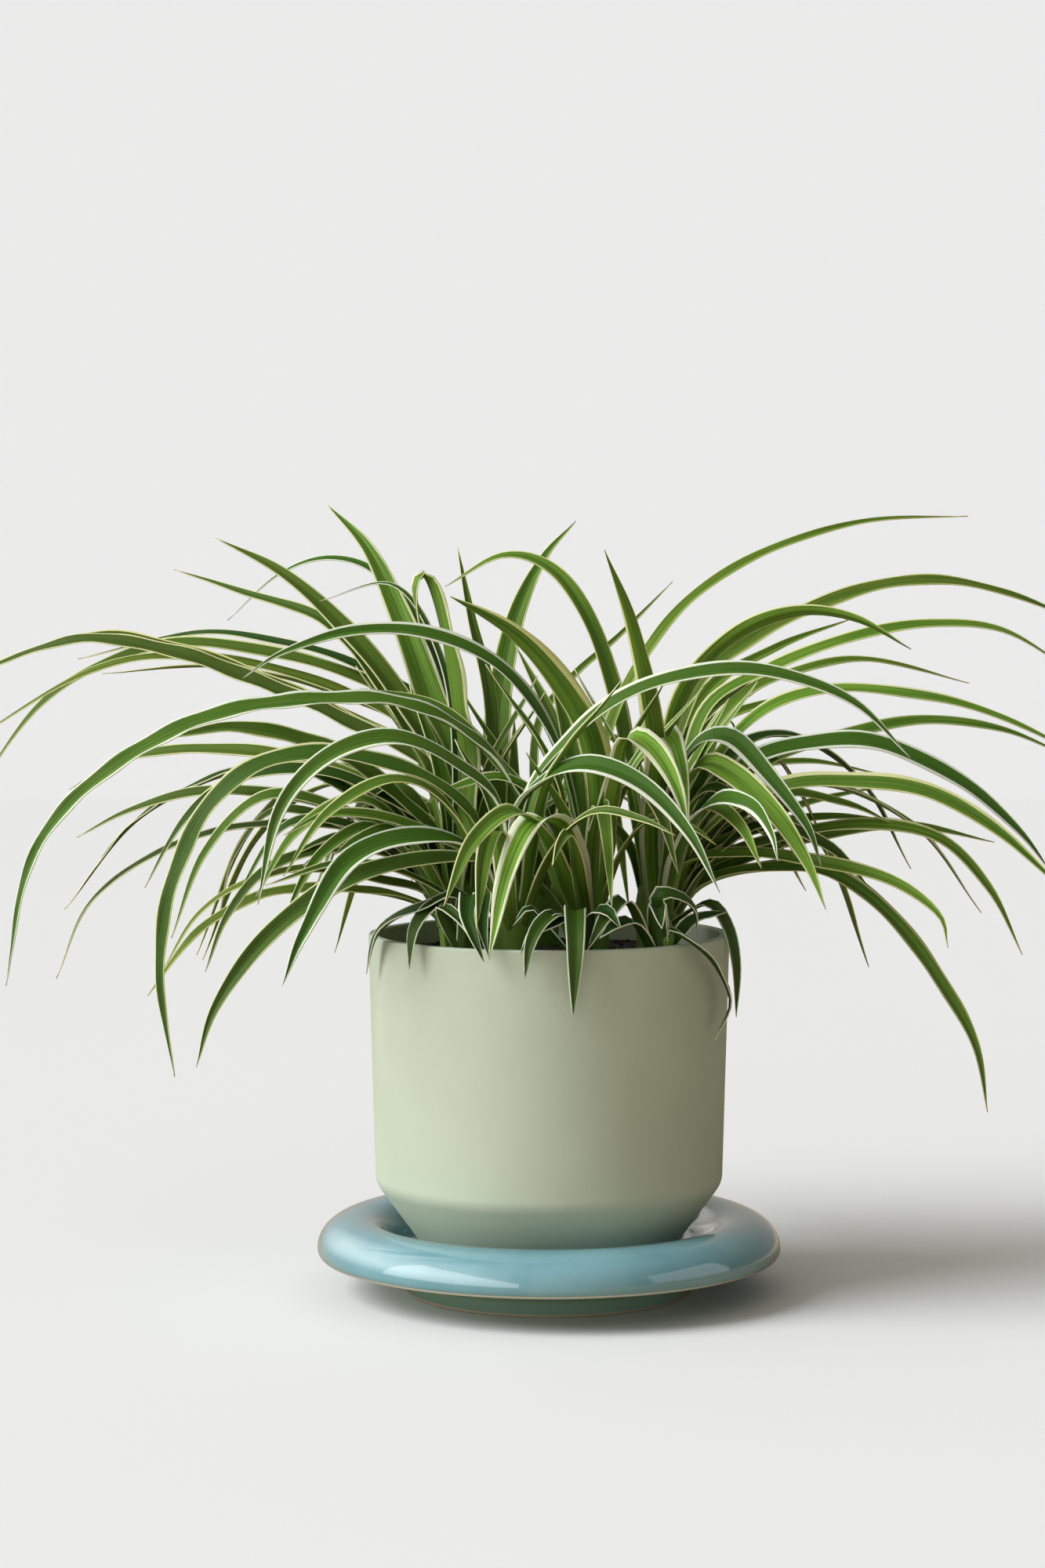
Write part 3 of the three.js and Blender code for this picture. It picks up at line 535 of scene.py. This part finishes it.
def add_stock(bm, crown):
    """The root stock in the soil and the core of sheaths that the leaves part from."""
    radius = crown["stock"]
    foot = SOIL_TOP - STOCK_DEPTH
    profile = [(0, foot), (radius, foot), (radius, SOIL_TOP + STOCK_STRAIGHT)]
    profile += [(radius * share, crown["neck"] + radius * rise) for share, rise in CORE]
    profile_edges(bm, profile, crown["at"])
    spin_profile(bm, STOCK_STEPS, crown["at"])
    for vert in bm.verts:
        vert[bm.verts.layers.float["half"]] = radius
        vert[bm.verts.layers.float["green"]] = STOCK_GREEN


def leafy_piece(cad_node, crown, rows, draw):
    """All the leaves of one crown or plantlet on its root stock, as one mesh."""
    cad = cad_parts[cad_node].data
    cad_tree = BVHTree.FromPolygons([v.co for v in cad.vertices], [p.vertices for p in cad.polygons])
    bm = bmesh.new()
    for layer in LEAF_VALUES:
        bm.verts.layers.float.new(layer)
    add_stock(bm, crown)
    for row in rows:
        swing = swing_of(crown, row[2], row[4], cad_tree)
        if swing is not None:
            add_leaf(bm, crown, row, swing, draw)
    bmesh.ops.recalc_face_normals(bm, faces=bm.faces)
    piece = finished(cad_node + "_leaves", bm, living_leaf, cad_node)
    blade = piece.modifiers.new("blade", "SOLIDIFY")
    blade.thickness = BLADE_MM * MM
    blade.offset = 0


# Living leaf. Its waxy skin has a satin shine, light comes through it a little, and its colour is streaked
# along the veins between two pale margins. The sheath near its root is paler, and painted paler still as
# painted light falling into the heart of the plant.
VEIN_MM = 1.1
STREAK_MM = 70
STREAK_SCALE = 1.3
WANDER_SCALE = 0.6
LEAF_SHIFT = 40
# How far from the rib in millimetres the painted crease shade reaches, and where it is full.
CREASE_SHADE_REACH = 0.7
CREASE_SHADE_FULL = 0.1
MARGIN_BLUR = 0.03
# Where the paler sheath with its painted light ends and where it is full, as shares of the leaf, and how pale
# it gets.
SHEATH_AND_LIGHT_END = 0.3
SHEATH_AND_LIGHT_FULL = 0.04
SHEATH_AND_LIGHT_PALENESS = 0.65
living_leaf, tree = new_material("striped_living_leaf")
leaf = {name: node(tree, "Attribute", attribute_name=name).outputs["Fac"] for name in LEAF_VALUES}

# The middle: green to olive, streaked along the blade, and painted darker on the rib as a painted shade in
# the fold's crease. A dark leaf has faint streaks.
across_mm = node(tree, "Math", {0: leaf["across"], 1: leaf["half"]}, operation="MULTIPLY")
lane = node(tree, "CombineXYZ", {
    "X": across_mm,
    "Y": node(tree, "Math", {0: leaf["along"], 1: STREAK_MM}, operation="DIVIDE"),
    "Z": node(tree, "Math", {0: leaf["leaf_draw"], 1: LEAF_SHIFT}, operation="MULTIPLY"),
})
streaks = node(tree, "TexNoise", {"Vector": lane, "Scale": STREAK_SCALE, "Detail": 3})
streaks = node(tree, "MapRange", {"Value": streaks, "From Min": 0.38, "From Max": 0.62, "To Max": 0.6})
clearness = node(tree, "MapRange", {"Value": leaf["green"], "From Max": 0.3, "To Min": 0.3})
streaks = node(tree, "Math", {0: streaks, 1: clearness}, operation="MULTIPLY")
# Painted shade: the crease along the rib, at the bottom of the fold, is painted darker.
from_rib = node(tree, "Math", {0: across_mm}, operation="ABSOLUTE")
crease_shade = node(tree, "MapRange", {
    "Value": from_rib, "From Min": CREASE_SHADE_REACH, "From Max": CREASE_SHADE_FULL, "To Max": 0.35,
})
middle = "#1f4011"
for share, tint in (
    (leaf["green"], "#7aab39"),
    (leaf["olive"], "#85913a"),
    (streaks, "#396516"),
    (crease_shade, "#20410f"),
):
    middle = node(tree, "Mix", {"Factor": share, "A": middle, "B": tint}, data_type="RGBA")

# The margins: cream to white, each with its own width, which wanders along the blade.
margin = node(tree, "Mix", {"Factor": leaf["white"], "A": "#dcdd98", "B": "#e2ebdc"}, data_type="RGBA")
is_left = node(tree, "Math", {0: leaf["across"], 1: 0}, operation="GREATER_THAN")
edge = node(tree, "Mix", {"Factor": is_left, "A": leaf["right_edge"], "B": leaf["left_edge"]})
wander = node(tree, "TexNoise", {"Vector": lane, "Scale": WANDER_SCALE, "Detail": 1})
wander = node(tree, "MapRange", {
    "Value": wander, "From Min": 0.3, "From Max": 0.7, "To Min": 0.7, "To Max": 1.3,
})
edge = node(tree, "Math", {0: edge, 1: wander}, operation="MULTIPLY")
outward = node(tree, "Math", {0: leaf["across"]}, operation="ABSOLUTE")
edge = node(tree, "Math", {0: edge, 1: 1}, operation="SUBTRACT")
past_edge = node(tree, "Math", {0: outward, 1: edge}, operation="ADD")
in_margin = node(tree, "MapRange", {"Value": past_edge, "From Min": -MARGIN_BLUR, "From Max": MARGIN_BLUR})

# The sheath: paler towards the root, partly its own colour and partly painted light falling into the plant's
# heart, less so on a dark leaf.
sheath_and_light = node(tree, "MapRange", {
    "Value": leaf["share"], "From Min": SHEATH_AND_LIGHT_END, "From Max": SHEATH_AND_LIGHT_FULL, "To Max": SHEATH_AND_LIGHT_PALENESS,
})
clearness = node(tree, "MapRange", {"Value": leaf["green"], "From Max": 0.12, "To Min": 0.3})
sheath_and_light = node(tree, "Math", {0: sheath_and_light, 1: clearness}, operation="MULTIPLY")
colour = middle
for share, tint in ((in_margin, margin), (sheath_and_light, "#86ab48")):
    colour = node(tree, "Mix", {"Factor": share, "A": colour, "B": tint}, data_type="RGBA")

# The veins: fine ridges along the blade, which fade where it is narrow.
veins = node(tree, "Math", {0: across_mm, 1: math.tau / VEIN_MM}, operation="MULTIPLY")
veins = node(tree, "Math", {0: veins}, operation="SINE")
breadth = node(tree, "MapRange", {"Value": leaf["half"], "From Min": 1.2, "From Max": 3})
veins = node(tree, "Math", {0: veins, 1: breadth}, operation="MULTIPLY")
shader = node(tree, "BsdfPrincipled", {
    "Base Color": colour,
    "Roughness": 0.48,
    "Normal": node(tree, "Bump", {"Height": veins, "Strength": 0.25, "Distance": 0.12 * MM}),
    "IOR": 1.38,
    "Specular IOR Level": 0.3,
    "Subsurface Weight": 0.15,
    "Subsurface Radius": (0.6, 1.0, 0.25),
    "Subsurface Scale": 1 * MM,
})
node(tree, "OutputMaterial", {"Surface": shader})

# A plantlet or crown has the place and radius of its root stock and the height of its neck. A row of its
# leaves is width, roll in degrees, depth of the tip, look, and the points that the midrib passes, the last
# being the tip. Points are X and Z as seen from the eye in the plane of the pot's axis, and depth is Y. A
# third number is a point's own depth.
look_draw = random.Random(LOOK_SEED)

# Left plantlet. Its first leaf hangs over the rim at the left.
crown = {"at": (-36, -46), "neck": 152, "stock": 5, "leaves": [
    [10, 35, -28, "dark",
     [[-37, 165, -50], [-52, 161, -51], [-65, 156, -46], [-73, 147, -36], [-76, 132, -28]]],
    [9, 20, -58, "dark", [[-45, 161, -50], [-52, 158, -55], [-57, 149, -58], [-58, 134, -58]]],
    [9, 10, -80, "dark", [[-33, 166, -58], [-34, 157, -74], [-31, 147, -80], [-27, 137, -80]]],
    [6, 20, -71, "dark", [[-45, 160, -56], [-37, 155, -66], [-31, 145, -71]]],
    [8, 10, -80, "dark", [[-28, 166, -56], [-28, 157, -70], [-27, 148, -78], [-25, 139, -80]]],
]}
leafy_piece("plantlet_left", crown, crown["leaves"], look_draw)

# Front plantlet. Its first leaf hangs down in front of the pot.
crown = {"at": (13, -54), "neck": 151, "stock": 5, "leaves": [
    [9, 10, -80, "dark", [[11, 160, -64], [11, 152, -76], [11, 141, -80], [10, 114, -79]]],
    [8, 30, -80, "dark", [[5, 157, -64], [-3, 154, -74], [-8, 144, -80], [-10, 130, -80]]],
    [7, 20, -62, "dark", [[-3, 156, -60], [-9, 160, -63], [-15, 152, -62]]],
    [7, 40, -78, "dark", [[8, 155, -64], [0, 153, -72], [-7, 149, -76], [-12, 140, -78]]],
    [8, 40, -77, "dark", [[17, 157, -64], [24, 159, -71], [30, 151, -77]]],
]}
leafy_piece("plantlet_front", crown, crown["leaves"], look_draw)

# Right plantlet. Its first leaf hangs over the rim at the right.
crown = {"at": (44, -48), "neck": 152, "stock": 5, "leaves": [
    [7, 30, -42, "dark", [[49, 151, -54], [60, 146, -56], [70, 136, -46], [76, 120, -34], [69, 104, -41]]],
    [10, 35, -47, "dark", [[45, 164, -57], [54, 165, -57], [61, 159, -52], [62, 149, -47]]],
    [9, 0, -76, "dark", [[45, 161, -60], [47, 151, -76]]],
    [9, 30, -79, "dark", [[33, 163, -58], [25, 158, -70], [20, 150, -78], [16, 142, -79]]],
    [8, 20, -20, "dark", [[58, 154, -40], [66, 157, -30], [74, 158, -20]]],
    [8, 30, -78, "dark", [[36, 154, -62], [28, 153, -70], [21, 147, -78]]],
    [7, 10, -76, "dark", [[43, 154, -64], [41, 146, -76]]],
]}
leafy_piece("plantlet_right", crown, crown["leaves"], look_draw)


# Crowns: the grown plant, five clumps of long arching leaves, each on a root stock in the soil. The photo
# shows some leaves one by one, which are listed as above. A rule with seeded draws places the others, as it
# does in the solids: young ones in the heart, long ones over the back of the rim, and short filling ones.
GOLDEN_ANGLE = math.pi * (3 - math.sqrt(5))
HEART = {"roll": 15, "reach": (25, 55), "rise": (45, 105), "width": (8, 10), "bend": (0.3, 0.55)}
BACK = {"roll": 20, "reach": (120, 180), "top": (50, 75), "fall": (45, 105), "width": (8, 11)}
FILL = {"roll": 40, "reach": (50, 105), "top": (28, 58), "fall": (8, 45), "width": (7, 10)}
FAN_SHARES = (0.25, 0.5, 0.8, 1)
FAN_RISE = 15
PLACE_IN_SECTOR = (0.2, 0.8)
RULE_FACTOR = 1664525
RULE_STEP = 1013904223
RULE_RANGE = 2 ** 32
DRAWN_LOOKS = ("pale", "light", "fine", "pale", "deep", "olive")
# Looks for the crowns whose leaves are painted darker as painted shade.
PAINTED_SHADE_LOOKS = ("fine", "pale", "deep")


def numbers_from(seed):
    """Numbers from 0 to 1 by the rule that the solids' leaves are drawn with."""
    state = seed
    while True:
        state = (state * RULE_FACTOR + RULE_STEP) % RULE_RANGE
        yield state / RULE_RANGE


def between(ends, numbers):
    """A number drawn from a range."""
    return ends[0] + (ends[1] - ends[0]) * next(numbers)


def heart_leaves(crown, numbers):
    """Young leaves in the heart of a crown: short, nearly upright, set round it by the golden angle."""
    x, y = crown["at"]
    bend_out, bend_up = HEART["bend"]
    rows = []
    for k in range(crown["hearts"]):
        angle = k * GOLDEN_ANGLE + next(numbers)
        reach = between(HEART["reach"], numbers)
        rise = between(HEART["rise"], numbers)
        dx = reach * math.cos(angle)
        seen = [(x + bend_out * dx, crown["neck"] + bend_up * rise), (x + dx, crown["neck"] + rise)]
        depth = y + reach * math.sin(angle)
        rows.append([between(HEART["width"], numbers), HEART["roll"], depth, "pale", seen])
    return rows


def fanned_leaves(crown, fan, kind, numbers):
    """Arching leaves, one in each sector of a fan: up to their top halfway out, and down to the tip."""
    x, y = crown["at"]
    count, start, end = fan
    looks = crown.get("looks", DRAWN_LOOKS)
    rows = []
    for k in range(count):
        angle = math.radians(start + (end - start) * (k + between(PLACE_IN_SECTOR, numbers)) / count)
        reach = between(kind["reach"], numbers)
        top = crown["neck"] + between(kind["top"], numbers)
        tip = top - between(kind["fall"], numbers)
        dx = reach * math.cos(angle)
        heights = (top - FAN_RISE, top, (2 * top + tip) / 3, tip)
        seen = [(x + share * dx, height) for share, height in zip(FAN_SHARES, heights)]
        look = looks[(k + count) % len(looks)]
        rows.append([between(kind["width"], numbers), kind["roll"], y + reach * math.sin(angle), look, seen])
    return rows


def crown_piece(cad_node, crown, draw):
    """A crown with its listed leaves and those that the rule places."""
    numbers = numbers_from(crown["seed"])
    rows = crown["leaves"] + heart_leaves(crown, numbers)
    rows += fanned_leaves(crown, crown.get("backs", (0, 0, 0)), BACK, numbers)
    rows += fanned_leaves(crown, crown["fills"], FILL, numbers)
    leafy_piece(cad_node, crown, rows, draw)


# A crown also has a seed, a number of heart leaves, and fans of back and filling leaves, each as a number
# and the angles in degrees between which they stand. The drawn leaves of a shaded crown are painted darker,
# as painted shade.

# Middle crown: long leaves to both sides, and broad pale ones that fold over the front.
crown = {"at": (16, -14), "neck": 158, "stock": 8, "seed": 20, "hearts": 8,
         "fills": (6, 195, 345), "leaves": [
    [12, 50, -45, "white_left",
     [[-16, 215], [-52, 243], [-97, 247], [-146, 238], [-191, 211], [-216, 178], [-226, 127]]],
    [15, 0, -92, "bright",
     [[11, 176, -36], [4, 196, -64], [-8, 196, -76], [-18, 174, -87], [-25, 138, -92]]],
    [9, 50, -55, "pale", [[-6, 173], [-32, 184], [-65, 197], [-91, 199], [-110, 190]]],
    [10, 60, -35, "white",
     [[12, 196], [2, 231], [-18, 259], [-49, 274], [-81, 275], [-110, 266], [-127, 255]]],
    [9, 50, -15, "pale", [[6, 186], [-16, 215], [-45, 243], [-78, 251]]],
    [14, -55, -55, "creamy", [[22, 199], [18, 230], [5, 254], [-15, 275], [-41, 289]]],
    [8, 35, 30, "fine", [[13, 199], [3, 235], [-14, 269]]],
    [14, 35, -78, "bright", [[22, 183], [26, 209], [31, 231], [42, 228], [53, 210], [58, 190]]],
    [6, 45, 60, "plain", [[20, 212], [31, 250], [55, 285], [88, 307], [130, 320], [173, 322]]],
]}
crown_piece("crown_middle", crown, look_draw)

# Front crown: leaves that arch to the front and to both sides, low over the rim. Its deep leaves are painted
# darker as painted shade.
crown = {"at": (-15, -38), "neck": 158, "stock": 8, "seed": 42, "hearts": 4,
         "fills": (3, 185, 355), "looks": PAINTED_SHADE_LOOKS, "leaves": [
    [11, 60, -70, "white_left", [[-19, 199], [-39, 221], [-65, 231], [-92, 223], [-112, 200], [-121, 161]]],
    [12, 55, -90, "white_left", [[-29, 183], [-58, 190], [-84, 179], [-102, 149], [-111, 127]]],
    [10, 60, -60, "white",
     [[-11, 202], [10, 233], [36, 251], [68, 259], [97, 257], [127, 245], [150, 222]]],
    [11, 60, -100, "white_right", [[-15, 196], [-3, 214], [16, 220], [39, 211], [58, 191], [71, 166]]],
    [11, 60, -80, "deep",
     [[-18, 175], [-35, 181], [-62, 179], [-92, 168], [-120, 145], [-139, 118], [-147, 93]]],
    [12, 60, -35, "deep",
     [[-32, 199], [-65, 220], [-107, 224], [-138, 207], [-157, 170], [-162, 131], [-156, 89]]],
    [7, 35, -35, "deep", [[-5, 192], [1, 213], [6, 197]]],
    [6, 40, -55, "fine", [[-52, 171], [-84, 179], [-118, 169]]],
]}
crown_piece("crown_front", crown, look_draw)

# Left crown: leaves to the left, from upright ones to some that hang beside the pot. Most of its leaves have
# dark looks, painted darker as painted shade.
crown = {"at": (-37, 2), "neck": 158, "stock": 8, "seed": 22, "hearts": 6, "backs": (3, 118, 165),
         "fills": (7, 145, 235), "looks": PAINTED_SHADE_LOOKS, "leaves": [
    [15, 35, 80, "pale", [[-37, 209], [-49, 247], [-62, 282], [-75, 309], [-92, 327]]],
    [12, 45, 50, "fine", [[-41, 209], [-62, 249], [-88, 280], [-112, 300], [-138, 313]]],
    [12, 55, -12, "fine", [[-44, 186], [-63, 207], [-88, 225], [-127, 235], [-161, 230]]],
    [22, 0, -20, "pale", [[-32, 212], [-36, 244], [-42, 277], [-50, 298], [-56, 293], [-53, 273]]],
    [11, 45, 75, "deep", [[-45, 212], [-84, 238], [-130, 258], [-162, 268], [-198, 271], [-247, 254]]],
    [9, -25, 105, "olive", [[-42, 215], [-78, 239], [-117, 257], [-157, 270], [-191, 273], [-243, 257]]],
    [6, 40, 125, "deep", [[-45, 235], [-78, 260], [-110, 270], [-146, 274], [-195, 263]]],
    [10, 45, 60, "fine", [[-45, 196], [-75, 212], [-104, 222], [-136, 226], [-172, 223], [-199, 209]]],
    [9, 45, 40, "deep", [[-50, 183], [-84, 200], [-117, 208], [-148, 208], [-175, 200], [-196, 189]]],
    [9, 50, 25, "deep", [[-45, 189], [-78, 212], [-107, 218], [-133, 212], [-152, 196], [-168, 168]]],
    [8, 50, 5, "fine", [[-49, 181], [-81, 199], [-117, 207], [-143, 183], [-157, 147]]],
    [7, 45, 60, "deep", [[-52, 176], [-88, 196], [-115, 200], [-131, 181], [-137, 157]]],
    [7, 45, 20, "deep", [[-49, 176], [-81, 194], [-110, 194], [-132, 160]]],
    [8, 50, -5, "deep", [[-49, 174], [-81, 185], [-114, 178], [-133, 158], [-143, 133]]],
    [6, 40, 30, "olive", [[-49, 171], [-84, 178], [-122, 172], [-146, 157], [-162, 131]]],
    [8, 45, 10, "olive", [[-55, 163], [-84, 168], [-117, 166], [-146, 150], [-167, 123]]],
    [7, 40, 25, "olive", [[-50, 166], [-71, 172], [-94, 176], [-117, 174]]],
    [7, 40, 75, "deep", [[-48, 177], [-71, 191], [-117, 195], [-156, 186], [-190, 163], [-205, 130]]],
    [8, 45, 95, "fine", [[-42, 202], [-65, 246], [-91, 278], [-127, 291], [-155, 300]]],
    [4, 45, 35, "white", [[-39, 231], [-47, 270], [-65, 294], [-95, 287]]],
    [6, 40, 0, "deep", [[-47, 176], [-62, 187], [-88, 190], [-115, 177]]],
]}
crown_piece("crown_left", crown, look_draw)

# Right crown: leaves to the right, and one that arches back over the middle. Most of its leaves have the
# light look, painted lighter as painted light on the side that stays in shade.
crown = {"at": (45, 4), "neck": 158, "stock": 8, "seed": 32, "hearts": 6, "backs": (3, 12, 52),
         "fills": (7, -65, 35), "leaves": [
    [11, 0, -60, "cream", [[45, 199], [43, 235], [35, 275], [23, 308]]],
    [10, -60, -25, "light", [[47, 212], [55, 249], [75, 272], [101, 283], [127, 280], [150, 267]]],
    [12, 60, 5, "white_right",
     [[58, 192], [81, 220], [110, 229], [139, 228], [172, 212], [195, 192], [209, 174]]],
    [11, 60, -30, "creamy", [[62, 189], [92, 210], [127, 213], [159, 208], [188, 191], [216, 165]]],
    [11, 60, -60, "white_right", [[49, 205], [60, 228], [75, 231], [91, 215], [107, 194], [113, 177]]],
    [12, 60, -80, "light", [[52, 199], [62, 220], [76, 216], [94, 199], [107, 179], [115, 159]]],
    [10, 60, -95, "white_right", [[55, 189], [68, 205], [83, 203], [92, 191], [95, 179]]],
    [11, 60, 10, "light",
     [[62, 170], [88, 177], [117, 175], [143, 156], [164, 128], [178, 102], [183, 74]]],
    [13, 45, -55, "bright", [[43, 193], [44, 217], [49, 233], [55, 217], [58, 192]]],
    [10, 50, 25, "light", [[35, 209], [29, 244], [18, 277], [2, 300], [-19, 306], [-43, 293]]],
    [10, 45, 75, "olive",
     [[49, 212], [60, 251], [84, 272], [117, 288], [152, 296], [188, 291], [227, 275]]],
    [7, 40, 110, "plain", [[52, 209], [65, 249], [94, 268], [126, 280]]],
    [9, 45, 45, "light", [[54, 205], [65, 243], [92, 260], [127, 273], [159, 278], [188, 275], [217, 258]]],
    [7, 40, 95, "light", [[57, 209], [75, 244], [101, 258], [133, 263], [174, 253]]],
    [9, 45, 30, "light", [[58, 202], [84, 239], [117, 251], [156, 248], [188, 239], [221, 223]]],
    [9, 45, 65, "light", [[62, 196], [88, 220], [122, 232], [156, 238], [188, 234], [217, 222]]],
    [6, 40, 85, "light", [[65, 186], [105, 203], [137, 210]]],
    [7, 45, 50, "light", [[63, 181], [91, 194], [117, 198], [142, 196]]],
    [8, 45, 75, "light", [[62, 174], [88, 184], [123, 192], [152, 194], [185, 187]]],
    [9, 50, -10, "light", [[62, 178], [94, 189], [130, 195], [162, 189], [183, 168], [197, 140]]],
    [9, 50, -50, "light", [[55, 178], [81, 183], [114, 179], [143, 171], [162, 157], [166, 143]]],
    [7, 35, 100, "fine", [[62, 212], [73, 238], [80, 228]]],
    [8, 40, 85, "light", [[55, 205], [66, 234], [86, 244], [108, 248]]],
    [7, 40, 45, "fine", [[65, 199], [89, 225], [105, 207], [118, 177]]],
    [6, 40, 120, "light", [[52, 192], [75, 215], [106, 221], [139, 215]]],
    [8, 40, 40, "light", [[42, 200], [60, 235], [85, 255]]],
    [8, 40, 65, "fine", [[46, 200], [66, 235], [91, 254]]],
    [8, 40, 15, "light", [[60, 180], [86, 195]]],
    [8, 40, 25, "fine", [[65, 173], [99, 186]]],
    [6, 45, -5, "dark", [[65, 162, -8], [74, 153, -7], [78, 136, -5], [78, 114, -4]]],
]}
crown_piece("crown_right", crown, look_draw)

# Back crown: leaves that rise behind the others and arch over the back of the rim.
crown = {"at": (-4, 38), "neck": 158, "stock": 8, "seed": 25, "hearts": 6, "backs": (7, 58, 122),
         "fills": (4, 35, 145), "leaves": [
    [13, 0, 95, "fine", [[-20, 209], [-21, 243], [-15, 277], [-3, 304], [11, 320]]],
    [8, 35, 60, "plain", [[-21, 212], [-25, 251], [-32, 280], [-38, 310]]],
    [10, 45, 60, "fine", [[-29, 225], [-68, 251], [-114, 266], [-162, 269], [-208, 247], [-240, 205]]],
    [6, -25, 130, "olive", [[-39, 222], [-88, 249], [-136, 260], [-185, 257]]],
    [8, 40, 85, "olive", [[-36, 218], [-88, 251], [-143, 264], [-188, 259], [-237, 231]]],
    [6, 45, 105, "white", [[-34, 228], [-50, 272], [-70, 298], [-91, 305], [-112, 298], [-133, 279]]],
    [5, 40, 75, "fine", [[-6, 228], [8, 254], [29, 273], [51, 295]]],
]}
crown_piece("crown_back", crown, look_draw)


# Studio: a plain pale floor and wall and soft light, stronger from the left, as from a wide window. The
# floor looks brighter than the light it gives back, so the far side of the pot stays in shade. The wall is
# seen by the camera alone and takes no part in the lighting.
STUDIO_SIZE = 60
WALL_DISTANCE = 3.5
WALL_BRIGHTNESS = 0.29


def studio_plane(name, material):
    """A large staged square, level and in the middle of the floor until it is moved."""
    bm = bmesh.new()
    bmesh.ops.create_grid(bm, x_segments=1, y_segments=1, size=STUDIO_SIZE / 2)
    mesh = bpy.data.meshes.new(name)
    bm.to_mesh(mesh)
    bm.free()
    mesh.materials.append(material)
    plane = bpy.data.objects.new(name, mesh)
    bpy.context.scene.collection.objects.link(plane)
    return plane


# Matte paper under the saucer. It gives back soft, slightly warm light and shows no shine.
pale_floor, tree = new_material("pale_paper_floor")
is_seen = node(tree, "LightPath").outputs["Is Camera Ray"]
shader = node(tree, "BsdfPrincipled", {
    "Base Color": node(tree, "Mix", {"Factor": is_seen, "A": "#b8a890", "B": "#eaebeb"}, data_type="RGBA"),
    "Roughness": 1,
    "Specular IOR Level": 0,
})
node(tree, "OutputMaterial", {"Surface": shader})
studio_plane("studio_floor", pale_floor)

# Evenly lit white wall. It gives the same pale grey everywhere behind the leaves.
pale_wall, tree = new_material("pale_painted_wall")
shader = node(tree, "BsdfPrincipled", {
    "Base Color": "#f2f3f5",
    "Roughness": 1,
    "Specular IOR Level": 0,
    "Emission Color": "#dcecff",
    "Emission Strength": WALL_BRIGHTNESS,
})
node(tree, "OutputMaterial", {"Surface": shader})
studio_wall = studio_plane("studio_wall", pale_wall)
studio_wall.location = (0, WALL_DISTANCE, 0)
studio_wall.rotation_euler = (math.pi / 2, 0, 0)
studio_wall.visible_diffuse = False
studio_wall.visible_glossy = False
studio_wall.visible_transmission = False
studio_wall.visible_shadow = False

# Daylight and a weak fill from the front. Neither is seen as a reflection.
DAYLIGHT_SPREAD = math.radians(38)
FILL_SIZE = 1.4


def light(name, kind, place, aim, strength, colour):
    """A light at a place in metres that faces another place."""
    data = bpy.data.lights.new(name, kind)
    data.energy = strength
    data.color = linear(colour)[:3]
    lamp = bpy.data.objects.new(name, data)
    lamp.location = place
    lamp.rotation_euler = (Vector(aim) - Vector(place)).to_track_quat("-Z", "Y").to_euler()
    bpy.context.scene.collection.objects.link(lamp)
    return lamp


daylight = light("daylight", "SUN", (-1.0, -0.35, 0.8), (0, 0, 0), 3.2, "#f9fbff")
daylight.data.angle = DAYLIGHT_SPREAD
daylight.visible_glossy = False

front_fill = light("front_fill", "AREA", (-0.9, -2.0, 0.8), (0, 0, 0.15), 4, "#fff4e2")
front_fill.data.size = FILL_SIZE
front_fill.visible_glossy = False

# Windows in the side walls, each as a place, a size, watts and a colour. They are seen only as reflections:
# a wide one on the left, a small dim one on the right.
WINDOWS = {
    "window_left": ((-1.5, -2.9, 0.85), (5.6, 1.6), 65, "#f8fbff"),
    "window_right": ((1.5, -0.55, 0.55), (1.4, 1.0), 4, "#f2f7ff"),
}
for name, (place, size, watts, colour) in WINDOWS.items():
    window = light(name, "AREA", place, (0, *place[1:]), watts, colour)
    window.data.shape = "RECTANGLE"
    window.data.size, window.data.size_y = size
    window.visible_diffuse = False

# Sky: its light weakens from left to right. Reflections also see a glow high on the left, and the camera
# sees an even grey.
SKY_SIDE = 0.9
SKY_LEFT_STRENGTH = 0.68
SKY_RIGHT_STRENGTH = 0.14
GLOW_LEFT = -0.95
GLOW_RIGHT = -0.25
GLOW_LOW = 0.05
GLOW_HIGH = 0.45
GLOW_STRENGTH = 3
SEEN_STRENGTH = 0.89
world = bpy.data.worlds.new("studio")
world.use_nodes = True
tree = world.node_tree
tree.nodes.clear()
paths = node(tree, "LightPath").outputs
ray = node(tree, "TexCoord").outputs["Generated"]
ray = node(tree, "SeparateXYZ", {"Vector": ray}).outputs
leftward = node(tree, "MapRange", {
    "Value": ray["X"], "From Min": GLOW_LEFT, "From Max": GLOW_RIGHT, "To Min": GLOW_STRENGTH, "To Max": 0,
})
upward = node(tree, "MapRange", {"Value": ray["Z"], "From Min": GLOW_LOW, "From Max": GLOW_HIGH})
glow = node(tree, "Math", {0: leftward, 1: upward}, operation="MULTIPLY")
glow = node(tree, "Math", {0: glow, 1: paths["Is Glossy Ray"]}, operation="MULTIPLY")
sky = node(tree, "MapRange", {
    "Value": ray["X"], "From Min": -SKY_SIDE, "From Max": SKY_SIDE,
    "To Min": SKY_LEFT_STRENGTH, "To Max": SKY_RIGHT_STRENGTH,
})
unseen = node(tree, "Math", {0: sky, 1: glow}, operation="ADD")
is_seen = paths["Is Camera Ray"]
background = node(tree, "Background", {
    "Color": node(tree, "Mix", {"Factor": is_seen, "A": "#fdf8ee", "B": "#f2f3f5"}, data_type="RGBA"),
    "Strength": node(tree, "Mix", {"Factor": is_seen, "A": unseen, "B": SEEN_STRENGTH}),
})
node(tree, "OutputWorld", {"Surface": background})
bpy.context.scene.world = world
bpy.context.scene.view_settings.view_transform = "Standard"
